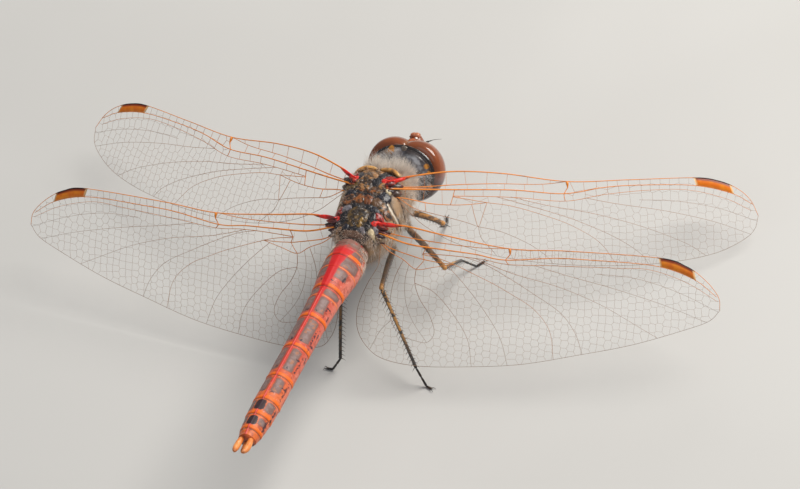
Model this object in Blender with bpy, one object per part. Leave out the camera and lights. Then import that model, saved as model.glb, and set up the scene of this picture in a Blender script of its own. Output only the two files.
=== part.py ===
"""A male variegated meadowhawk dragonfly at rest, at life size, as faceted solids.

All sizes are in millimetres and are scaled to metres when a mesh is made. The body frame has +X to
the animal's left, +Y towards its tail and +Z up, with its origin midway between the four wing bases.
An empty tilts that frame so that the tail is raised, and lifts it until the feet stand at Z = 0.
"""
import math

import bpy
import bmesh
from mathutils import Matrix, Vector

MM = 0.001
GAP = 0.1                    # clearance between neighbouring pieces
LIMB_RADIUS = 0.26           # thinnest leg and feeler
WING_THICKNESS = 0.5

BODY_TILT = 10.0             # degrees that the tail is raised
BODY_HEIGHT = 10.78          # wing-base origin above the floor
BODY_SHIFT_X = 0.03          # centres the bounding box on the world origin
BODY_SHIFT_Y = -8.69

HEAD_PLACE = (-0.22, -8.66, -2.52)
HEAD_YAW = -2.5              # degrees, turned to the animal's right
HEAD_PITCH = 27.7            # degrees, face lowered
HEAD_ROLL = -1.4             # degrees, right side lowered

ABDOMEN_START = (0.12, 3.9, -2.15)

# The thorax along its length: Y, top Z, bottom Z, half width.
THORAX_STATIONS = (
    (-6.1, -1.9, -4.0, 1.10),
    (-5.6, -1.1, -4.9, 1.75),
    (-4.8, -0.2, -5.7, 2.40),
    (-3.8, 0.45, -6.2, 2.80),
    (-2.4, 0.80, -6.5, 2.95),
    (-0.8, 0.65, -6.4, 2.95),
    (0.8, 0.30, -5.9, 2.80),
    (2.1, -0.15, -5.2, 2.50),
    (3.1, -0.65, -4.5, 2.05),
    (3.75, -1.00, -3.9, 1.60),
)

# Abdominal segments 1 to 10: length, half width and half height at the front and at the rear.
ABDOMEN_SEGMENTS = (
    (1.0, 1.55, 1.45, 1.66, 1.56),
    (2.1, 1.70, 1.60, 1.76, 1.64),
    (3.0, 1.72, 1.60, 1.40, 1.30),
    (3.4, 1.38, 1.26, 1.28, 1.14),
    (3.7, 1.28, 1.12, 1.24, 1.08),
    (3.7, 1.24, 1.08, 1.22, 1.06),
    (2.9, 1.22, 1.06, 1.24, 1.08),
    (1.8, 1.24, 1.06, 1.16, 1.00),
    (1.65, 1.14, 0.98, 0.98, 0.87),
    (0.75, 0.94, 0.85, 0.80, 0.74),
)

# The claspers at the tail: distance along, distance out from the middle, rise, and radius.
CERCUS_STATIONS = (
    (0.00, 0.40, 0.20, 0.27),
    (0.65, 0.46, 0.18, 0.34),
    (1.30, 0.44, 0.24, 0.33),
    (1.85, 0.32, 0.38, 0.25),
)

# The left hind leg stands close under the body, so the lobe of the left hind wing reaches in less.
LEFT_LOBE_SHARE = 0.6

# Each wing: hinge in the body frame for the left side, sweep forward, dihedral, and the twist that
# lowers its trailing edge, in degrees.
FORE_HINGE = (2.00, -1.81, 0.68)
HIND_HINGE = (2.51, 2.19, -0.66)
WING_POSE = {
    "wing_fore_right": (FORE_HINGE, -1, 25.0, -9.6, 44.5),
    "wing_fore_left": (FORE_HINGE, 1, 22.6, -7.1, 44.0),
    "wing_hind_right": (HIND_HINGE, -1, 5.9, -2.6, 53.6),
    "wing_hind_left": (HIND_HINGE, 1, 4.1, -2.8, 59.5),
}

# Wing outlines: distance from the hinge along the span, and distance behind the hinge-to-nodus line.
FORE_OUTLINE = (
    (-0.6, -0.50), (1.6, -0.85), (5.2, -1.15), (9.4, -0.85), (14.7, 0.0), (20.0, 0.0), (25.6, -0.02),
    (27.6, 0.30), (29.2, 1.00), (30.4, 2.05), (31.0, 3.40), (30.6, 4.60), (29.4, 5.60), (27.0, 6.55),
    (23.5, 7.15), (19.0, 7.35), (14.0, 7.10), (9.0, 6.35), (5.0, 5.00), (2.4, 3.50), (1.0, 2.00),
    (-0.6, 1.10),
)
HIND_OUTLINE = (
    (-0.6, -0.50), (2.0, -0.45), (5.5, 0.05), (10.9, 0.62), (16.0, 0.35), (23.6, 0.20), (26.0, 0.70),
    (27.8, 1.70), (29.0, 3.00), (29.2, 4.10), (28.4, 5.10), (26.4, 6.00), (22.0, 7.70), (17.5, 9.00),
    (12.5, 10.30), (7.5, 11.00), (3.5, 11.30), (0.5, 10.95), (-1.1, 9.90), (-1.95, 8.40), (-1.95, 6.60),
    (-1.2, 4.60), (-0.3, 3.20), (-0.6, 2.20),
)

# Each leg: hip, knee and ankle in the body frame, and the tip of the foot, which stands on the floor.
LEGS = {
    "fore_right": ((-0.90, -5.80, -4.9), (-4.20, -5.30, -6.00), (-3.20, -7.90, -8.50), (-2.56, -9.57)),
    "mid_right": ((-0.90, -4.80, -5.9), (-6.40, 0.20, -6.00), (-6.10, -3.80, -8.60), (-7.40, -5.40)),
    "hind_right": ((-0.60, -1.90, -6.0), (-2.25, 4.31, -5.44), (-6.00, 8.00, -10.60), (-7.30, 8.45)),
    "fore_left": ((0.90, -6.00, -4.9), (3.60, -5.00, -5.60), (3.00, -7.80, -8.50), (2.40, -9.30)),
    "mid_left": ((0.90, -4.80, -5.9), (3.60, 1.60, -5.30), (4.60, -1.80, -8.90), (5.40, -3.40)),
    "hind_left": ((0.60, -1.90, -6.0), (0.80, 5.80, -5.00), (1.00, 7.90, -10.90), (2.45, 7.90)),
}

# The neck: Y, top Z, bottom Z, half width.
NECK_STATIONS = (
    (-7.1, -2.3, -3.2, 0.60),
    (-6.8, -2.1, -3.5, 0.78),
    (-6.4, -1.9, -3.8, 0.90),
    (-5.8, -2.0, -3.9, 0.85),
)

# Domed plates on the back: Y, Z, half length, half width and height.
BACK_PLATES = {
    "mesonotum": (-1.95, 0.35, 1.35, 1.25, 1.00),
    "metanotum": (1.55, -0.25, 1.25, 1.15, 0.95),
}

# In the head's own frame, with its face towards -Y. The eye before it is cut flat: its middle for
# the left side, and its half sizes.
EYE_MIDDLE = (1.05, 0.15, -0.60)
EYE_HALF_SIZE = (2.52, 2.06, 2.68)
EYE_REAR = 0.95              # the flat back of both eyes

# The back of the head: distance behind the eyes' flat back, and share of its full size.
HEAD_BACK_STATIONS = ((0.10, 1.0), (0.20, 0.97), (0.40, 0.80), (0.55, 0.45))
HEAD_BACK_HALF_SIZE = (3.05, 2.44)
HEAD_BACK_LIFT = -0.75

# The face between the eyes, from its top down: Z, half width, front Y, back Y.
FACE_STATIONS = (
    (2.15, 0.42, -2.00, -1.45),
    (1.85, 0.72, -2.35, -1.20),
    (1.40, 1.00, -2.60, -0.80),
    (0.80, 1.20, -2.75, 0.30),
    (0.20, 1.30, -2.75, 0.80),
    (-0.40, 1.30, -2.55, 0.84),
    (-0.90, 1.42, -2.60, 0.84),
    (-1.50, 1.46, -2.50, 0.84),
    (-2.00, 1.38, -2.20, 0.84),
)
# The mouthparts below the face, in the same terms.
MOUTH_STATIONS = (
    (-2.10, 1.34, -2.12, 0.70),
    (-2.50, 1.36, -2.00, 0.60),
    (-2.90, 1.18, -1.70, 0.40),
    (-3.20, 0.80, -1.25, 0.10),
)

COLOURS = {
    "eye": (0.24, 0.07, 0.04, 0.25),
    "head": (0.05, 0.04, 0.03, 0.6),
    "face": (0.45, 0.18, 0.08, 0.5),
    "thorax": (0.17, 0.12, 0.07, 0.7),
    "abdomen": (0.62, 0.12, 0.06, 0.45),
    "cercus": (0.80, 0.36, 0.12, 0.5),
    "wing": (0.80, 0.74, 0.60, 0.3),
    "leg": (0.06, 0.05, 0.03, 0.5),
}


def clear_scene():
    for item in list(bpy.data.objects):
        bpy.data.objects.remove(item, do_unlink=True)


def make_material(name):
    red, green, blue, roughness = COLOURS[name]
    material = bpy.data.materials.new(name)
    material.use_nodes = True
    shader = material.node_tree.nodes["Principled BSDF"]
    shader.inputs["Base Color"].default_value = (red, green, blue, 1.0)
    shader.inputs["Roughness"].default_value = roughness
    shader.inputs["Metallic"].default_value = 0.0
    return material


def add_mesh(name, points, faces, material, parent, smooth=True):
    """A named object from points in millimetres, with its faces turned outward."""
    mesh = bpy.data.meshes.new(name)
    build = bmesh.new()
    corners = [build.verts.new(Vector(point) * MM) for point in points]
    for face in faces:
        build.faces.new([corners[index] for index in face])
    bmesh.ops.recalc_face_normals(build, faces=build.faces)
    build.to_mesh(mesh)
    build.free()
    if smooth:
        mesh.shade_smooth()
        mesh.set_sharp_from_angle(angle=math.radians(50))
    if material:
        mesh.materials.append(material)
    item = bpy.data.objects.new(name, mesh)
    bpy.context.scene.collection.objects.link(item)
    item.parent = parent
    return item


def add_loft(name, rings, material, parent):
    """A closed skin over rings of equal count, with a flat cap at each end."""
    count = len(rings[0])
    points = [point for ring in rings for point in ring]
    faces = []
    for row in range(len(rings) - 1):
        for step in range(count):
            start, after = row * count + step, row * count + (step + 1) % count
            faces.append((start, after, after + count, start + count))
    faces.append(tuple(range(count)))
    faces.append(tuple(range(len(points) - count, len(points))))
    return add_mesh(name, points, faces, material, parent)


def cut(item, cutter):
    """Takes the cutter's shape away from the item."""
    modifier = item.modifiers.new("cut_" + cutter.name, "BOOLEAN")
    modifier.operation = "DIFFERENCE"
    modifier.solver = "EXACT"
    modifier.object = cutter


def hide_cutter(item):
    item.hide_render = True
    item.display_type = "WIRE"
    return item


def signed_power(value, power):
    return math.copysign(abs(value) ** power, value)


def oval_ring(y, top, bottom, half_width, count, bulge=(2.0, 2.0), waist=0.5):
    """A ring across the body, widest at the waist, a share of its height.

    The two bulges square off its upper and its lower half: 2 is an ellipse.
    """
    middle = bottom + (top - bottom) * waist
    points = []
    for step in range(count):
        angle = 2 * math.pi * (step + 0.5) / count
        upper = math.cos(angle) > 0
        power = 2 / bulge[0 if upper else 1]
        reach = top - middle if upper else middle - bottom
        points.append((half_width * signed_power(math.sin(angle), power), y,
                       middle + reach * signed_power(math.cos(angle), power)))
    return points


def add_thorax(name, material, parent, grow=0.0):
    rings = []
    for y, top, bottom, half_width in THORAX_STATIONS:
        rings.append(oval_ring(y, top + grow, bottom - grow, half_width + grow, 24, (3.2, 1.35), 0.6))
    if grow:
        rings[0] = [(x, y - grow, z) for x, y, z in rings[0]]
        rings[-1] = [(x, y + grow, z) for x, y, z in rings[-1]]
    return add_loft(name, rings, material, parent)


def add_back_plate(name, cutter, material, parent):
    """A low dome on the back between a pair of wings."""
    y, z, half_length, half_width, height = BACK_PLATES[name]
    rings = []
    for step in range(1, 8):
        share = -1 + 2 * step / 8
        reach = math.sqrt(1 - share * share)
        rings.append(oval_ring(y + half_length * share, z + height * reach, z - height * reach,
                               half_width * reach, 14))
    item = add_loft(name, rings, material, parent)
    cut(item, cutter)
    return item


def add_neck(cutters, material, parent):
    """The small first ring of the thorax, between the back of the head and the trunk."""
    rings = [oval_ring(y, top, bottom, half_width, 14) for y, top, bottom, half_width in NECK_STATIONS]
    item = add_loft("prothorax", rings, material, parent)
    for cutter in cutters:
        cut(item, cutter)


def abdomen_ring(y, half_width, half_height, count=16):
    """A ring with a blunt ridge along the back, full lower sides and a flattened belly."""
    x0, _, z0 = ABDOMEN_START
    points = []
    for step in range(count):
        angle = 2 * math.pi * step / count
        side, lift = math.sin(angle), math.cos(angle)
        narrow = 1 - 0.16 * max(lift, 0)
        drop = half_height * (lift if lift > 0 else 0.92 * signed_power(lift, 0.8))
        points.append((x0 + half_width * side * narrow, y, z0 + drop))
    return points


def add_abdomen(material, parent):
    y = ABDOMEN_START[1]
    for number, (length, wide_0, high_0, wide_1, high_1) in enumerate(ABDOMEN_SEGMENTS, start=1):
        rings = []
        for share, swell in ((0.0, 0.965), (0.12, 1.0), (0.55, 0.99), (0.9, 1.0), (1.0, 0.985)):
            wide = (wide_0 + (wide_1 - wide_0) * share) * swell
            high = (high_0 + (high_1 - high_0) * share) * swell
            rings.append(abdomen_ring(y + (length - GAP) * share, wide, high))
        add_loft("abdomen_%02d" % number, rings, material, parent)
        y += length
    return y


def tube_rings(points, radii, sides=8):
    """Rings round a chain of points, all turned the same way, so that the tube doesn't twist."""
    spots = [Vector(point) for point in points]
    rings = []
    for index, spot in enumerate(spots):
        ahead = spots[min(index + 1, len(spots) - 1)] - spots[max(index - 1, 0)]
        ahead.normalize()
        across = ahead.cross(Vector((0, 0, 1)))
        if across.length < 0.2:
            across = ahead.cross(Vector((0, 1, 0)))
        across.normalize()
        rise = across.cross(ahead)
        ring = []
        for step in range(sides):
            angle = 2 * math.pi * (step + 0.5) / sides
            ring.append(spot + (across * math.cos(angle) + rise * math.sin(angle)) * radii[index])
        rings.append(ring)
    return rings


def add_tail_pieces(end_y, material, parent):
    """The two claspers above and the short wedge between and below them."""
    x0, _, z0 = ABDOMEN_START
    for side, name in ((1, "cercus_left"), (-1, "cercus_right")):
        points = [(x0 + side * out, end_y + along, z0 + rise) for along, out, rise, _ in CERCUS_STATIONS]
        radii = [radius for _, _, _, radius in CERCUS_STATIONS]
        add_loft(name, tube_rings(points, radii), material, parent)
    points = ((x0, end_y, z0 - 0.42), (x0, end_y + 0.6, z0 - 0.38), (x0, end_y + 1.2, z0 - 0.24))
    add_loft("epiproct", tube_rings(points, (0.34, 0.32, 0.25), 6), material, parent)


def wing_matrix(hinge, side, sweep, dihedral, twist):
    """Span, chord and thickness axes of a wing at its hinge; the left side is +1."""
    sweep, dihedral, twist = (math.radians(value) for value in (sweep, dihedral, twist))
    span = Vector((side * math.cos(dihedral) * math.cos(sweep), -math.cos(dihedral) * math.sin(sweep),
                   math.sin(dihedral)))
    level = Vector((side * math.sin(sweep), math.cos(sweep), 0))
    down = span.cross(level)
    if down.z > 0:
        down = -down
    chord = level * math.cos(twist) + down * math.sin(twist)
    frame = Matrix((span, chord, span.cross(chord))).transposed().to_4x4()
    place = Vector((side * hinge[0], hinge[1], hinge[2])) * MM
    return Matrix.Translation(place) @ frame


def add_wing(name, outline, cutter, material, parent):
    hinge, side, sweep, dihedral, twist = WING_POSE[name]
    half = WING_THICKNESS / 2
    if name == "wing_hind_left":
        outline = [(x * LEFT_LOBE_SHARE if x < 0 else x, y) for x, y in outline]
    count = len(outline)
    points = [(x, y, -half) for x, y in outline] + [(x, y, half) for x, y in outline]
    faces = [tuple(range(count)), tuple(range(count, 2 * count))]
    for step in range(count):
        after = (step + 1) % count
        faces.append((step, after, after + count, step + count))
    item = add_mesh(name, points, faces, material, parent, smooth=False)
    item.matrix_local = wing_matrix(hinge, side, sweep, dihedral, twist)
    cut(item, cutter)
    return item


def floor_height(y, clearance):
    """Body-frame Z at a given Y of a point this far above the floor."""
    tilt = math.radians(BODY_TILT)
    return (clearance - BODY_HEIGHT - y * math.sin(tilt)) / math.cos(tilt)


def joint_gap(before, joint, after, radius_before, radius_after):
    """How far past a joint the next piece starts, so that it clears the one before it."""
    back = (Vector(before) - Vector(joint)).normalized()
    on = (Vector(after) - Vector(joint)).normalized()
    angle = back.angle(on)
    straight = radius_before + GAP
    if angle < math.radians(100):
        wedge = (radius_before + GAP + radius_after * max(math.cos(angle), 0)) / math.sin(angle)
        return max(straight, wedge)
    return straight


def towards(start, end, distance):
    start, end = Vector(start), Vector(end)
    return start + (end - start).normalized() * distance


def mix(start, end, share):
    return Vector(start).lerp(Vector(end), share)


def add_leg(name, hip, knee, ankle, tip, cutter, material, parent):
    side = math.copysign(1, hip[0])
    root = Vector((hip[0] * 0.9, hip[1] + 0.3, hip[2] + 1.0))
    trochanter = Vector((hip[0] + side * 0.25, hip[1] + 0.15, hip[2] - 0.65))
    rings = tube_rings((root, hip, trochanter), (0.55, 0.52, 0.36))
    coxa = add_loft("coxa_" + name, rings, material, parent)
    cut(coxa, cutter)

    start = towards(trochanter, knee, 0.30 + GAP)
    chain = (start, mix(start, knee, 0.25), mix(start, knee, 0.7), knee)
    add_loft("femur_" + name, tube_rings(chain, (0.30, 0.36, 0.31, 0.28)), material, parent)

    start = towards(knee, ankle, joint_gap(trochanter, knee, ankle, 0.28, LIMB_RADIUS))
    chain = (start, mix(start, ankle, 0.5), ankle)
    add_loft("tibia_" + name, tube_rings(chain, (LIMB_RADIUS,) * 3), material, parent)

    sole = LIMB_RADIUS * math.cos(math.pi / 8)
    toe = Vector((tip[0], tip[1], floor_height(tip[1], sole)))
    heel = Vector(mix(ankle, toe, 0.62))
    heel.z = floor_height(heel.y, sole)
    start = towards(ankle, heel, joint_gap(knee, ankle, heel, LIMB_RADIUS, LIMB_RADIUS))
    rings = tube_rings((start, heel, toe), (LIMB_RADIUS,) * 3)
    foot = add_loft("tarsus_" + name, rings, material, parent)
    flatten_sole(foot)


def flatten_sole(foot):
    """Sets the underside of the foot's last two rings on the floor."""
    for corner in foot.data.vertices:
        y = corner.co.y / MM
        lowest = floor_height(y, 0.0) * MM
        near = floor_height(y, 0.07) * MM
        if corner.co.z < near:
            corner.co.z = lowest


def head_ring(z, half_width, front, back, count=16, bulge=2.5):
    """A level ring of the head, from its front Y to its back Y."""
    middle, reach = (front + back) / 2, (back - front) / 2
    points = []
    for step in range(count):
        angle = 2 * math.pi * (step + 0.5) / count
        points.append((half_width * signed_power(math.sin(angle), 2 / bulge),
                       middle + reach * signed_power(math.cos(angle), 2 / bulge), z))
    return points


def add_face(name, stations, material, parent, grow=0.0):
    """The face or the mouthparts; grown, and drawn out at both ends, it is their clearance."""
    rings = []
    for z, half_width, front, back in stations:
        rings.append(head_ring(z, half_width + grow, front - grow, back + grow))
    if grow:
        rings[0] = [(x, y, z + grow) for x, y, z in rings[0]]
        rings[-1] = [(x, y, z - grow) for x, y, z in rings[-1]]
    return add_loft(name, rings, material, parent)


def add_eye(name, side, cutters, material, parent):
    """A tall dome, rounded above and tapering below, flat at the back and where it meets its twin."""
    mid_x, mid_y, mid_z = EYE_MIDDLE
    wide, deep, high = EYE_HALF_SIZE
    mesh = bpy.data.meshes.new(name)
    build = bmesh.new()
    bmesh.ops.create_uvsphere(build, u_segments=22, v_segments=14, radius=1.0)
    for corner in build.verts:
        x, y, z = corner.co
        taper = 1.0 if z > 0 else 1.0 - 0.15 * z * z
        corner.co = Vector((side * mid_x + x * wide * taper, y * deep * taper + mid_y,
                            z * high + mid_z)) * MM
    for point, normal in (((0, EYE_REAR, 0), (0, 1, 0)), ((side * GAP / 2, 0, 0), (-side, 0, 0))):
        sliced = bmesh.ops.bisect_plane(
            build, geom=build.verts[:] + build.edges[:] + build.faces[:], dist=1e-8,
            plane_co=Vector(point) * MM, plane_no=normal, clear_outer=True)
        edges = [part for part in sliced["geom_cut"] if isinstance(part, bmesh.types.BMEdge)]
        if edges:
            bmesh.ops.contextual_create(build, geom=edges)
    bmesh.ops.recalc_face_normals(build, faces=build.faces)
    build.to_mesh(mesh)
    build.free()
    mesh.shade_smooth()
    mesh.set_sharp_from_angle(angle=math.radians(50))
    mesh.materials.append(material)
    item = bpy.data.objects.new(name, mesh)
    bpy.context.scene.collection.objects.link(item)
    item.parent = parent
    for cutter in cutters:
        cut(item, cutter)
    return item


def add_head(materials, parent):
    middle = bpy.data.objects.new("head_frame", None)
    bpy.context.scene.collection.objects.link(middle)
    middle.parent = parent
    middle.location = Vector(HEAD_PLACE) * MM
    middle.rotation_euler = tuple(math.radians(turn) for turn in (HEAD_PITCH, HEAD_ROLL, HEAD_YAW))

    add_face("face", FACE_STATIONS, materials["face"], middle)
    add_face("mouthparts", MOUTH_STATIONS, materials["face"], middle)
    cutter = hide_cutter(add_face("face_clearance", FACE_STATIONS, None, middle, GAP))
    mouth_cutter = hide_cutter(add_face("mouth_clearance", MOUTH_STATIONS, None, middle, GAP))
    for side, name in ((1, "eye_left"), (-1, "eye_right")):
        add_eye(name, side, (cutter, mouth_cutter), materials["eye"], middle)
        points = []
        for share in (0.0, 0.35, 1.0):
            points.append((side * (0.80 + 0.65 * share), -2.35 - 1.4 * share, 1.45 + 0.05 * share))
        antenna = add_loft("antenna" + name[3:], tube_rings(points, (0.30, LIMB_RADIUS, LIMB_RADIUS), 6),
                           materials["leg"], middle)
        cut(antenna, cutter)

    add_head_capsule("head", materials["head"], middle)
    return hide_cutter(add_head_capsule("head_clearance", None, middle, GAP))


def add_head_capsule(name, material, parent, grow=0.0):
    """The back of the head: a shallow dome behind the eyes."""
    half_width, half_height = HEAD_BACK_HALF_SIZE
    rings = []
    for behind, share in HEAD_BACK_STATIONS:
        y = EYE_REAR + behind + grow * (1 if share < 0.9 else -1)
        reach = half_height * share + grow
        rings.append(oval_ring(y, HEAD_BACK_LIFT + reach, HEAD_BACK_LIFT - reach,
                               half_width * share + grow, 20, (2.2, 2.2)))
    return add_loft(name, rings, material, parent)


def build_dragonfly():
    clear_scene()
    materials = {name: make_material(name) for name in COLOURS}
    body = bpy.data.objects.new("dragonfly", None)
    bpy.context.scene.collection.objects.link(body)
    body.location = Vector((BODY_SHIFT_X, BODY_SHIFT_Y, BODY_HEIGHT)) * MM
    body.rotation_euler = (math.radians(BODY_TILT), 0, 0)

    add_thorax("thorax", materials["thorax"], body)
    cutter = hide_cutter(add_thorax("thorax_clearance", None, body, GAP))
    for name in BACK_PLATES:
        add_back_plate(name, cutter, materials["thorax"], body)
    head_cutter = add_head(materials, body)
    add_neck((cutter, head_cutter), materials["thorax"], body)
    end_y = add_abdomen(materials["abdomen"], body)
    add_tail_pieces(end_y, materials["cercus"], body)
    for name in WING_POSE:
        outline = FORE_OUTLINE if "fore" in name else HIND_OUTLINE
        add_wing(name, outline, cutter, materials["wing"], body)
    for name, (hip, knee, ankle, tip) in LEGS.items():
        add_leg(name, hip, knee, ankle, tip, cutter, materials["leg"], body)


build_dragonfly()
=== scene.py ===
"""The looks of the meadowhawk dragonfly: skins, shells, wings, hairs, light and camera.

Lengths are in millimetres in the body frame of the solids, which has +X to the animal's left, +Y
towards its tail and +Z up, and are scaled to metres when a mesh is made.
"""
import math
import random

import bpy
import numpy as np
from mathutils import Euler, Matrix, Vector, geometry, noise


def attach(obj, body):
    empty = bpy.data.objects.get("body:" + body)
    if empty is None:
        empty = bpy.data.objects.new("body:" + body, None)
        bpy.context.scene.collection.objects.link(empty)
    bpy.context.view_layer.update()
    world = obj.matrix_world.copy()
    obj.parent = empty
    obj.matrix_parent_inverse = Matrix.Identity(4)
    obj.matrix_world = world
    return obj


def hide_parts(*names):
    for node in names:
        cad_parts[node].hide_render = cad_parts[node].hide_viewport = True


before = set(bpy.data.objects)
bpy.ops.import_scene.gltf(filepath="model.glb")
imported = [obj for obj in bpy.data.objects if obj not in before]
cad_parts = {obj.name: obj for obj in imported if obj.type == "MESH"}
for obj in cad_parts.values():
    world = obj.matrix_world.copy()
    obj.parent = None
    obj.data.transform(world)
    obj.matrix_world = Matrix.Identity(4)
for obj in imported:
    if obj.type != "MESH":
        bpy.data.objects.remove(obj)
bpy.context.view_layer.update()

MM = 0.001

# The frames of the body, which is tilted tail up, and of the head, which nods, leans and turns.
BODY_PLACE = (0.03, -8.69, 10.78)
BODY_TILT = math.radians(10)
BODY = Matrix.Translation(BODY_PLACE) @ Matrix.Rotation(BODY_TILT, 4, "X")
HEAD_PLACE = (-0.22, -8.66, -2.52)
HEAD_TURN = Euler([math.radians(turn) for turn in (27.7, -1.4, -2.5)])
HEAD = BODY @ Matrix.Translation(HEAD_PLACE) @ HEAD_TURN.to_matrix().to_4x4()

FORE_HINGE = (2.00, -1.81, 0.68)
HIND_HINGE = (2.51, 2.19, -0.66)
WING_POSE = {                # hinge on the left side, side, sweep, dihedral and twist in degrees
    "wing_fore_right": (FORE_HINGE, -1, 25.0, -9.6, 44.5),
    "wing_fore_left": (FORE_HINGE, 1, 22.6, -7.1, 44.0),
    "wing_hind_right": (HIND_HINGE, -1, 5.9, -2.6, 53.6),
    "wing_hind_left": (HIND_HINGE, 1, 4.1, -2.8, 59.5),
}


# ---- Meshes ----

def moved(points, matrix):
    """The points as an array, carried to the part's frame by the matrix, still in millimetres."""
    turn = np.array(matrix.to_3x3())
    return np.asarray(points, float) @ turn.T + np.array(matrix.translation)


def add_object(name, data):
    item = bpy.data.objects.new(name, data)
    bpy.context.scene.collection.objects.link(item)
    return item


def add_piece(name, points, faces, material, matrix=BODY, replaces=(), slot=None, marks=None, uv=None):
    """A smooth piece that rides on the part's one body. marks are named numbers, one for each point."""
    mesh = bpy.data.meshes.new(name)
    mirrored = matrix.to_3x3().determinant() < 0
    faces = [list(face)[::-1] if mirrored else list(face) for face in faces]
    mesh.from_pydata((moved(points, matrix) * MM).tolist(), [], faces)
    for key, values in (marks or {}).items():
        layer = mesh.attributes.new(key, "FLOAT", "POINT")
        layer.data.foreach_set("value", np.asarray(values, np.float32))
    if uv is not None:
        layer = mesh.uv_layers.new(name="OFBake")
        corners = np.zeros(len(mesh.loops), np.int32)
        mesh.loops.foreach_get("vertex_index", corners)
        layer.data.foreach_set("uv", np.asarray(uv, np.float32)[corners].ravel())
    mesh.materials.append(material)
    mesh.update()
    mesh.shade_smooth()
    item = add_object(name, mesh)
    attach(item, "root")
    if replaces:
        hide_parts(*replaces)
    return item


class Shape:
    """Collects points, faces and marks of many small shapes, to be added as one piece."""

    def __init__(self, *marks):
        self.points, self.faces, self.marks = [], [], {key: [] for key in marks}
        self.count = 0

    def add(self, points, faces, **marks):
        points = np.asarray(points, float)
        self.points.append(points)
        self.faces.extend([tuple(index + self.count for index in face) for face in faces])
        for key, values in self.marks.items():
            values.append(np.broadcast_to(np.asarray(marks.get(key, 0.0), float), (len(points),)))
        self.count += len(points)

    def piece(self, name, material, **more):
        marks = {key: np.concatenate(values) for key, values in self.marks.items()}
        add_piece(name, np.concatenate(self.points), self.faces, material, marks=marks, **more)


def grid_faces(rows, columns, wrap=True):
    """Faces between rows of points; each row closes on itself if wrap is set."""
    faces = []
    for row in range(rows - 1):
        for step in range(columns if wrap else columns - 1):
            after = (step + 1) % columns
            faces.append((row * columns + step, row * columns + after,
                          (row + 1) * columns + after, (row + 1) * columns + step))
    return faces


def skin_faces(rows, columns):
    """Faces of a closed skin: rings of points, and a cap at both ends."""
    last = (rows - 1) * columns
    return grid_faces(rows, columns) + [tuple(range(columns))[::-1], tuple(range(last, last + columns))]


def unit(vectors):
    """The same directions at a length of 1."""
    return vectors / (np.linalg.norm(vectors, axis=-1, keepdims=True) + 1e-9)


def turns(count, start=0.0):
    """Even turns round a ring in radians, from a share of a step onwards."""
    return 2 * np.pi * (np.arange(count) + start) / count


def from_top(angle):
    """How far round from the top, 0 to pi, on either side."""
    return np.abs(np.angle(np.exp(1j * angle)))


def signed_power(value, power):
    """A power that keeps the sign, which makes a circle's sine and cosine into a fuller or slimmer oval's."""
    return np.sign(value) * np.abs(value) ** power


def smoothed(values, width, **ends):
    """The values with their corners rounded off, by a window this many values wide."""
    kernel = np.hanning(width) / np.hanning(width).sum()
    return np.convolve(np.pad(values, width // 2, **(ends or {"mode": "edge"})), kernel, "valid")


def smooth_line(points, step=0.25):
    """Points at an even step along a smooth curve through the given ones."""
    points = np.asarray(points, float)
    padded = np.vstack([2 * points[0] - points[1], points, 2 * points[-1] - points[-2]])
    found = []
    for a, b, c, d in zip(padded, padded[1:], padded[2:], padded[3:]):
        count = max(2, int(np.linalg.norm(c - b) / step))
        t = np.linspace(0, 1, count, endpoint=False)[:, None]
        found.append(0.5 * (2 * b + (c - a) * t + (2 * a - 5 * b + 4 * c - d) * t ** 2
                            + (3 * b - a - 3 * c + d) * t ** 3))
    return np.vstack(found + [points[-1:]])


def tube(line, radii, sides=6, caps=True):
    """Points and faces of a tube along a line of points in space."""
    line = np.asarray(line, float)
    radii = np.broadcast_to(np.asarray(radii, float), (len(line),))
    ahead = unit(np.gradient(line, axis=0))
    across = unit(np.cross(ahead, (0.0, 0.0, 1.0)))
    rise = np.cross(across, ahead)
    turn = turns(sides, 0.5)[None, :, None]
    ring = across[:, None] * np.cos(turn) + rise[:, None] * np.sin(turn)
    points = (line[:, None] + ring * radii[:, None, None]).reshape(-1, 3)
    return points, (skin_faces if caps else grid_faces)(len(line), sides)


def dome(middle, half_size, rows=24, columns=36):
    """A closed egg shape."""
    rise = np.linspace(-np.pi / 2, np.pi / 2, rows)[:, None]
    turn = turns(columns)[None]
    points = np.stack([np.cos(rise) * np.cos(turn), np.cos(rise) * np.sin(turn), np.sin(rise) + 0 * turn], 2)
    return points.reshape(-1, 3) * half_size + middle, grid_faces(rows, columns)


def ease(value, low, high):
    """0 below low, 1 above high, and smooth between."""
    share = np.clip((np.asarray(value, float) - low) / (high - low), 0, 1)
    return share * share * (3 - 2 * share)


def bump(value, middle, width):
    """A smooth hump of height 1."""
    return np.exp(-((np.asarray(value, float) - middle) / width) ** 2)


def rough_field(points, scale, seed=0.0):
    """A smooth random number for each point, about -1 to 1."""
    shift = Vector((seed, seed * 1.7, 0))
    return np.array([noise.noise(Vector(point) * scale + shift) for point in points])


# ---- Materials ----

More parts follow.
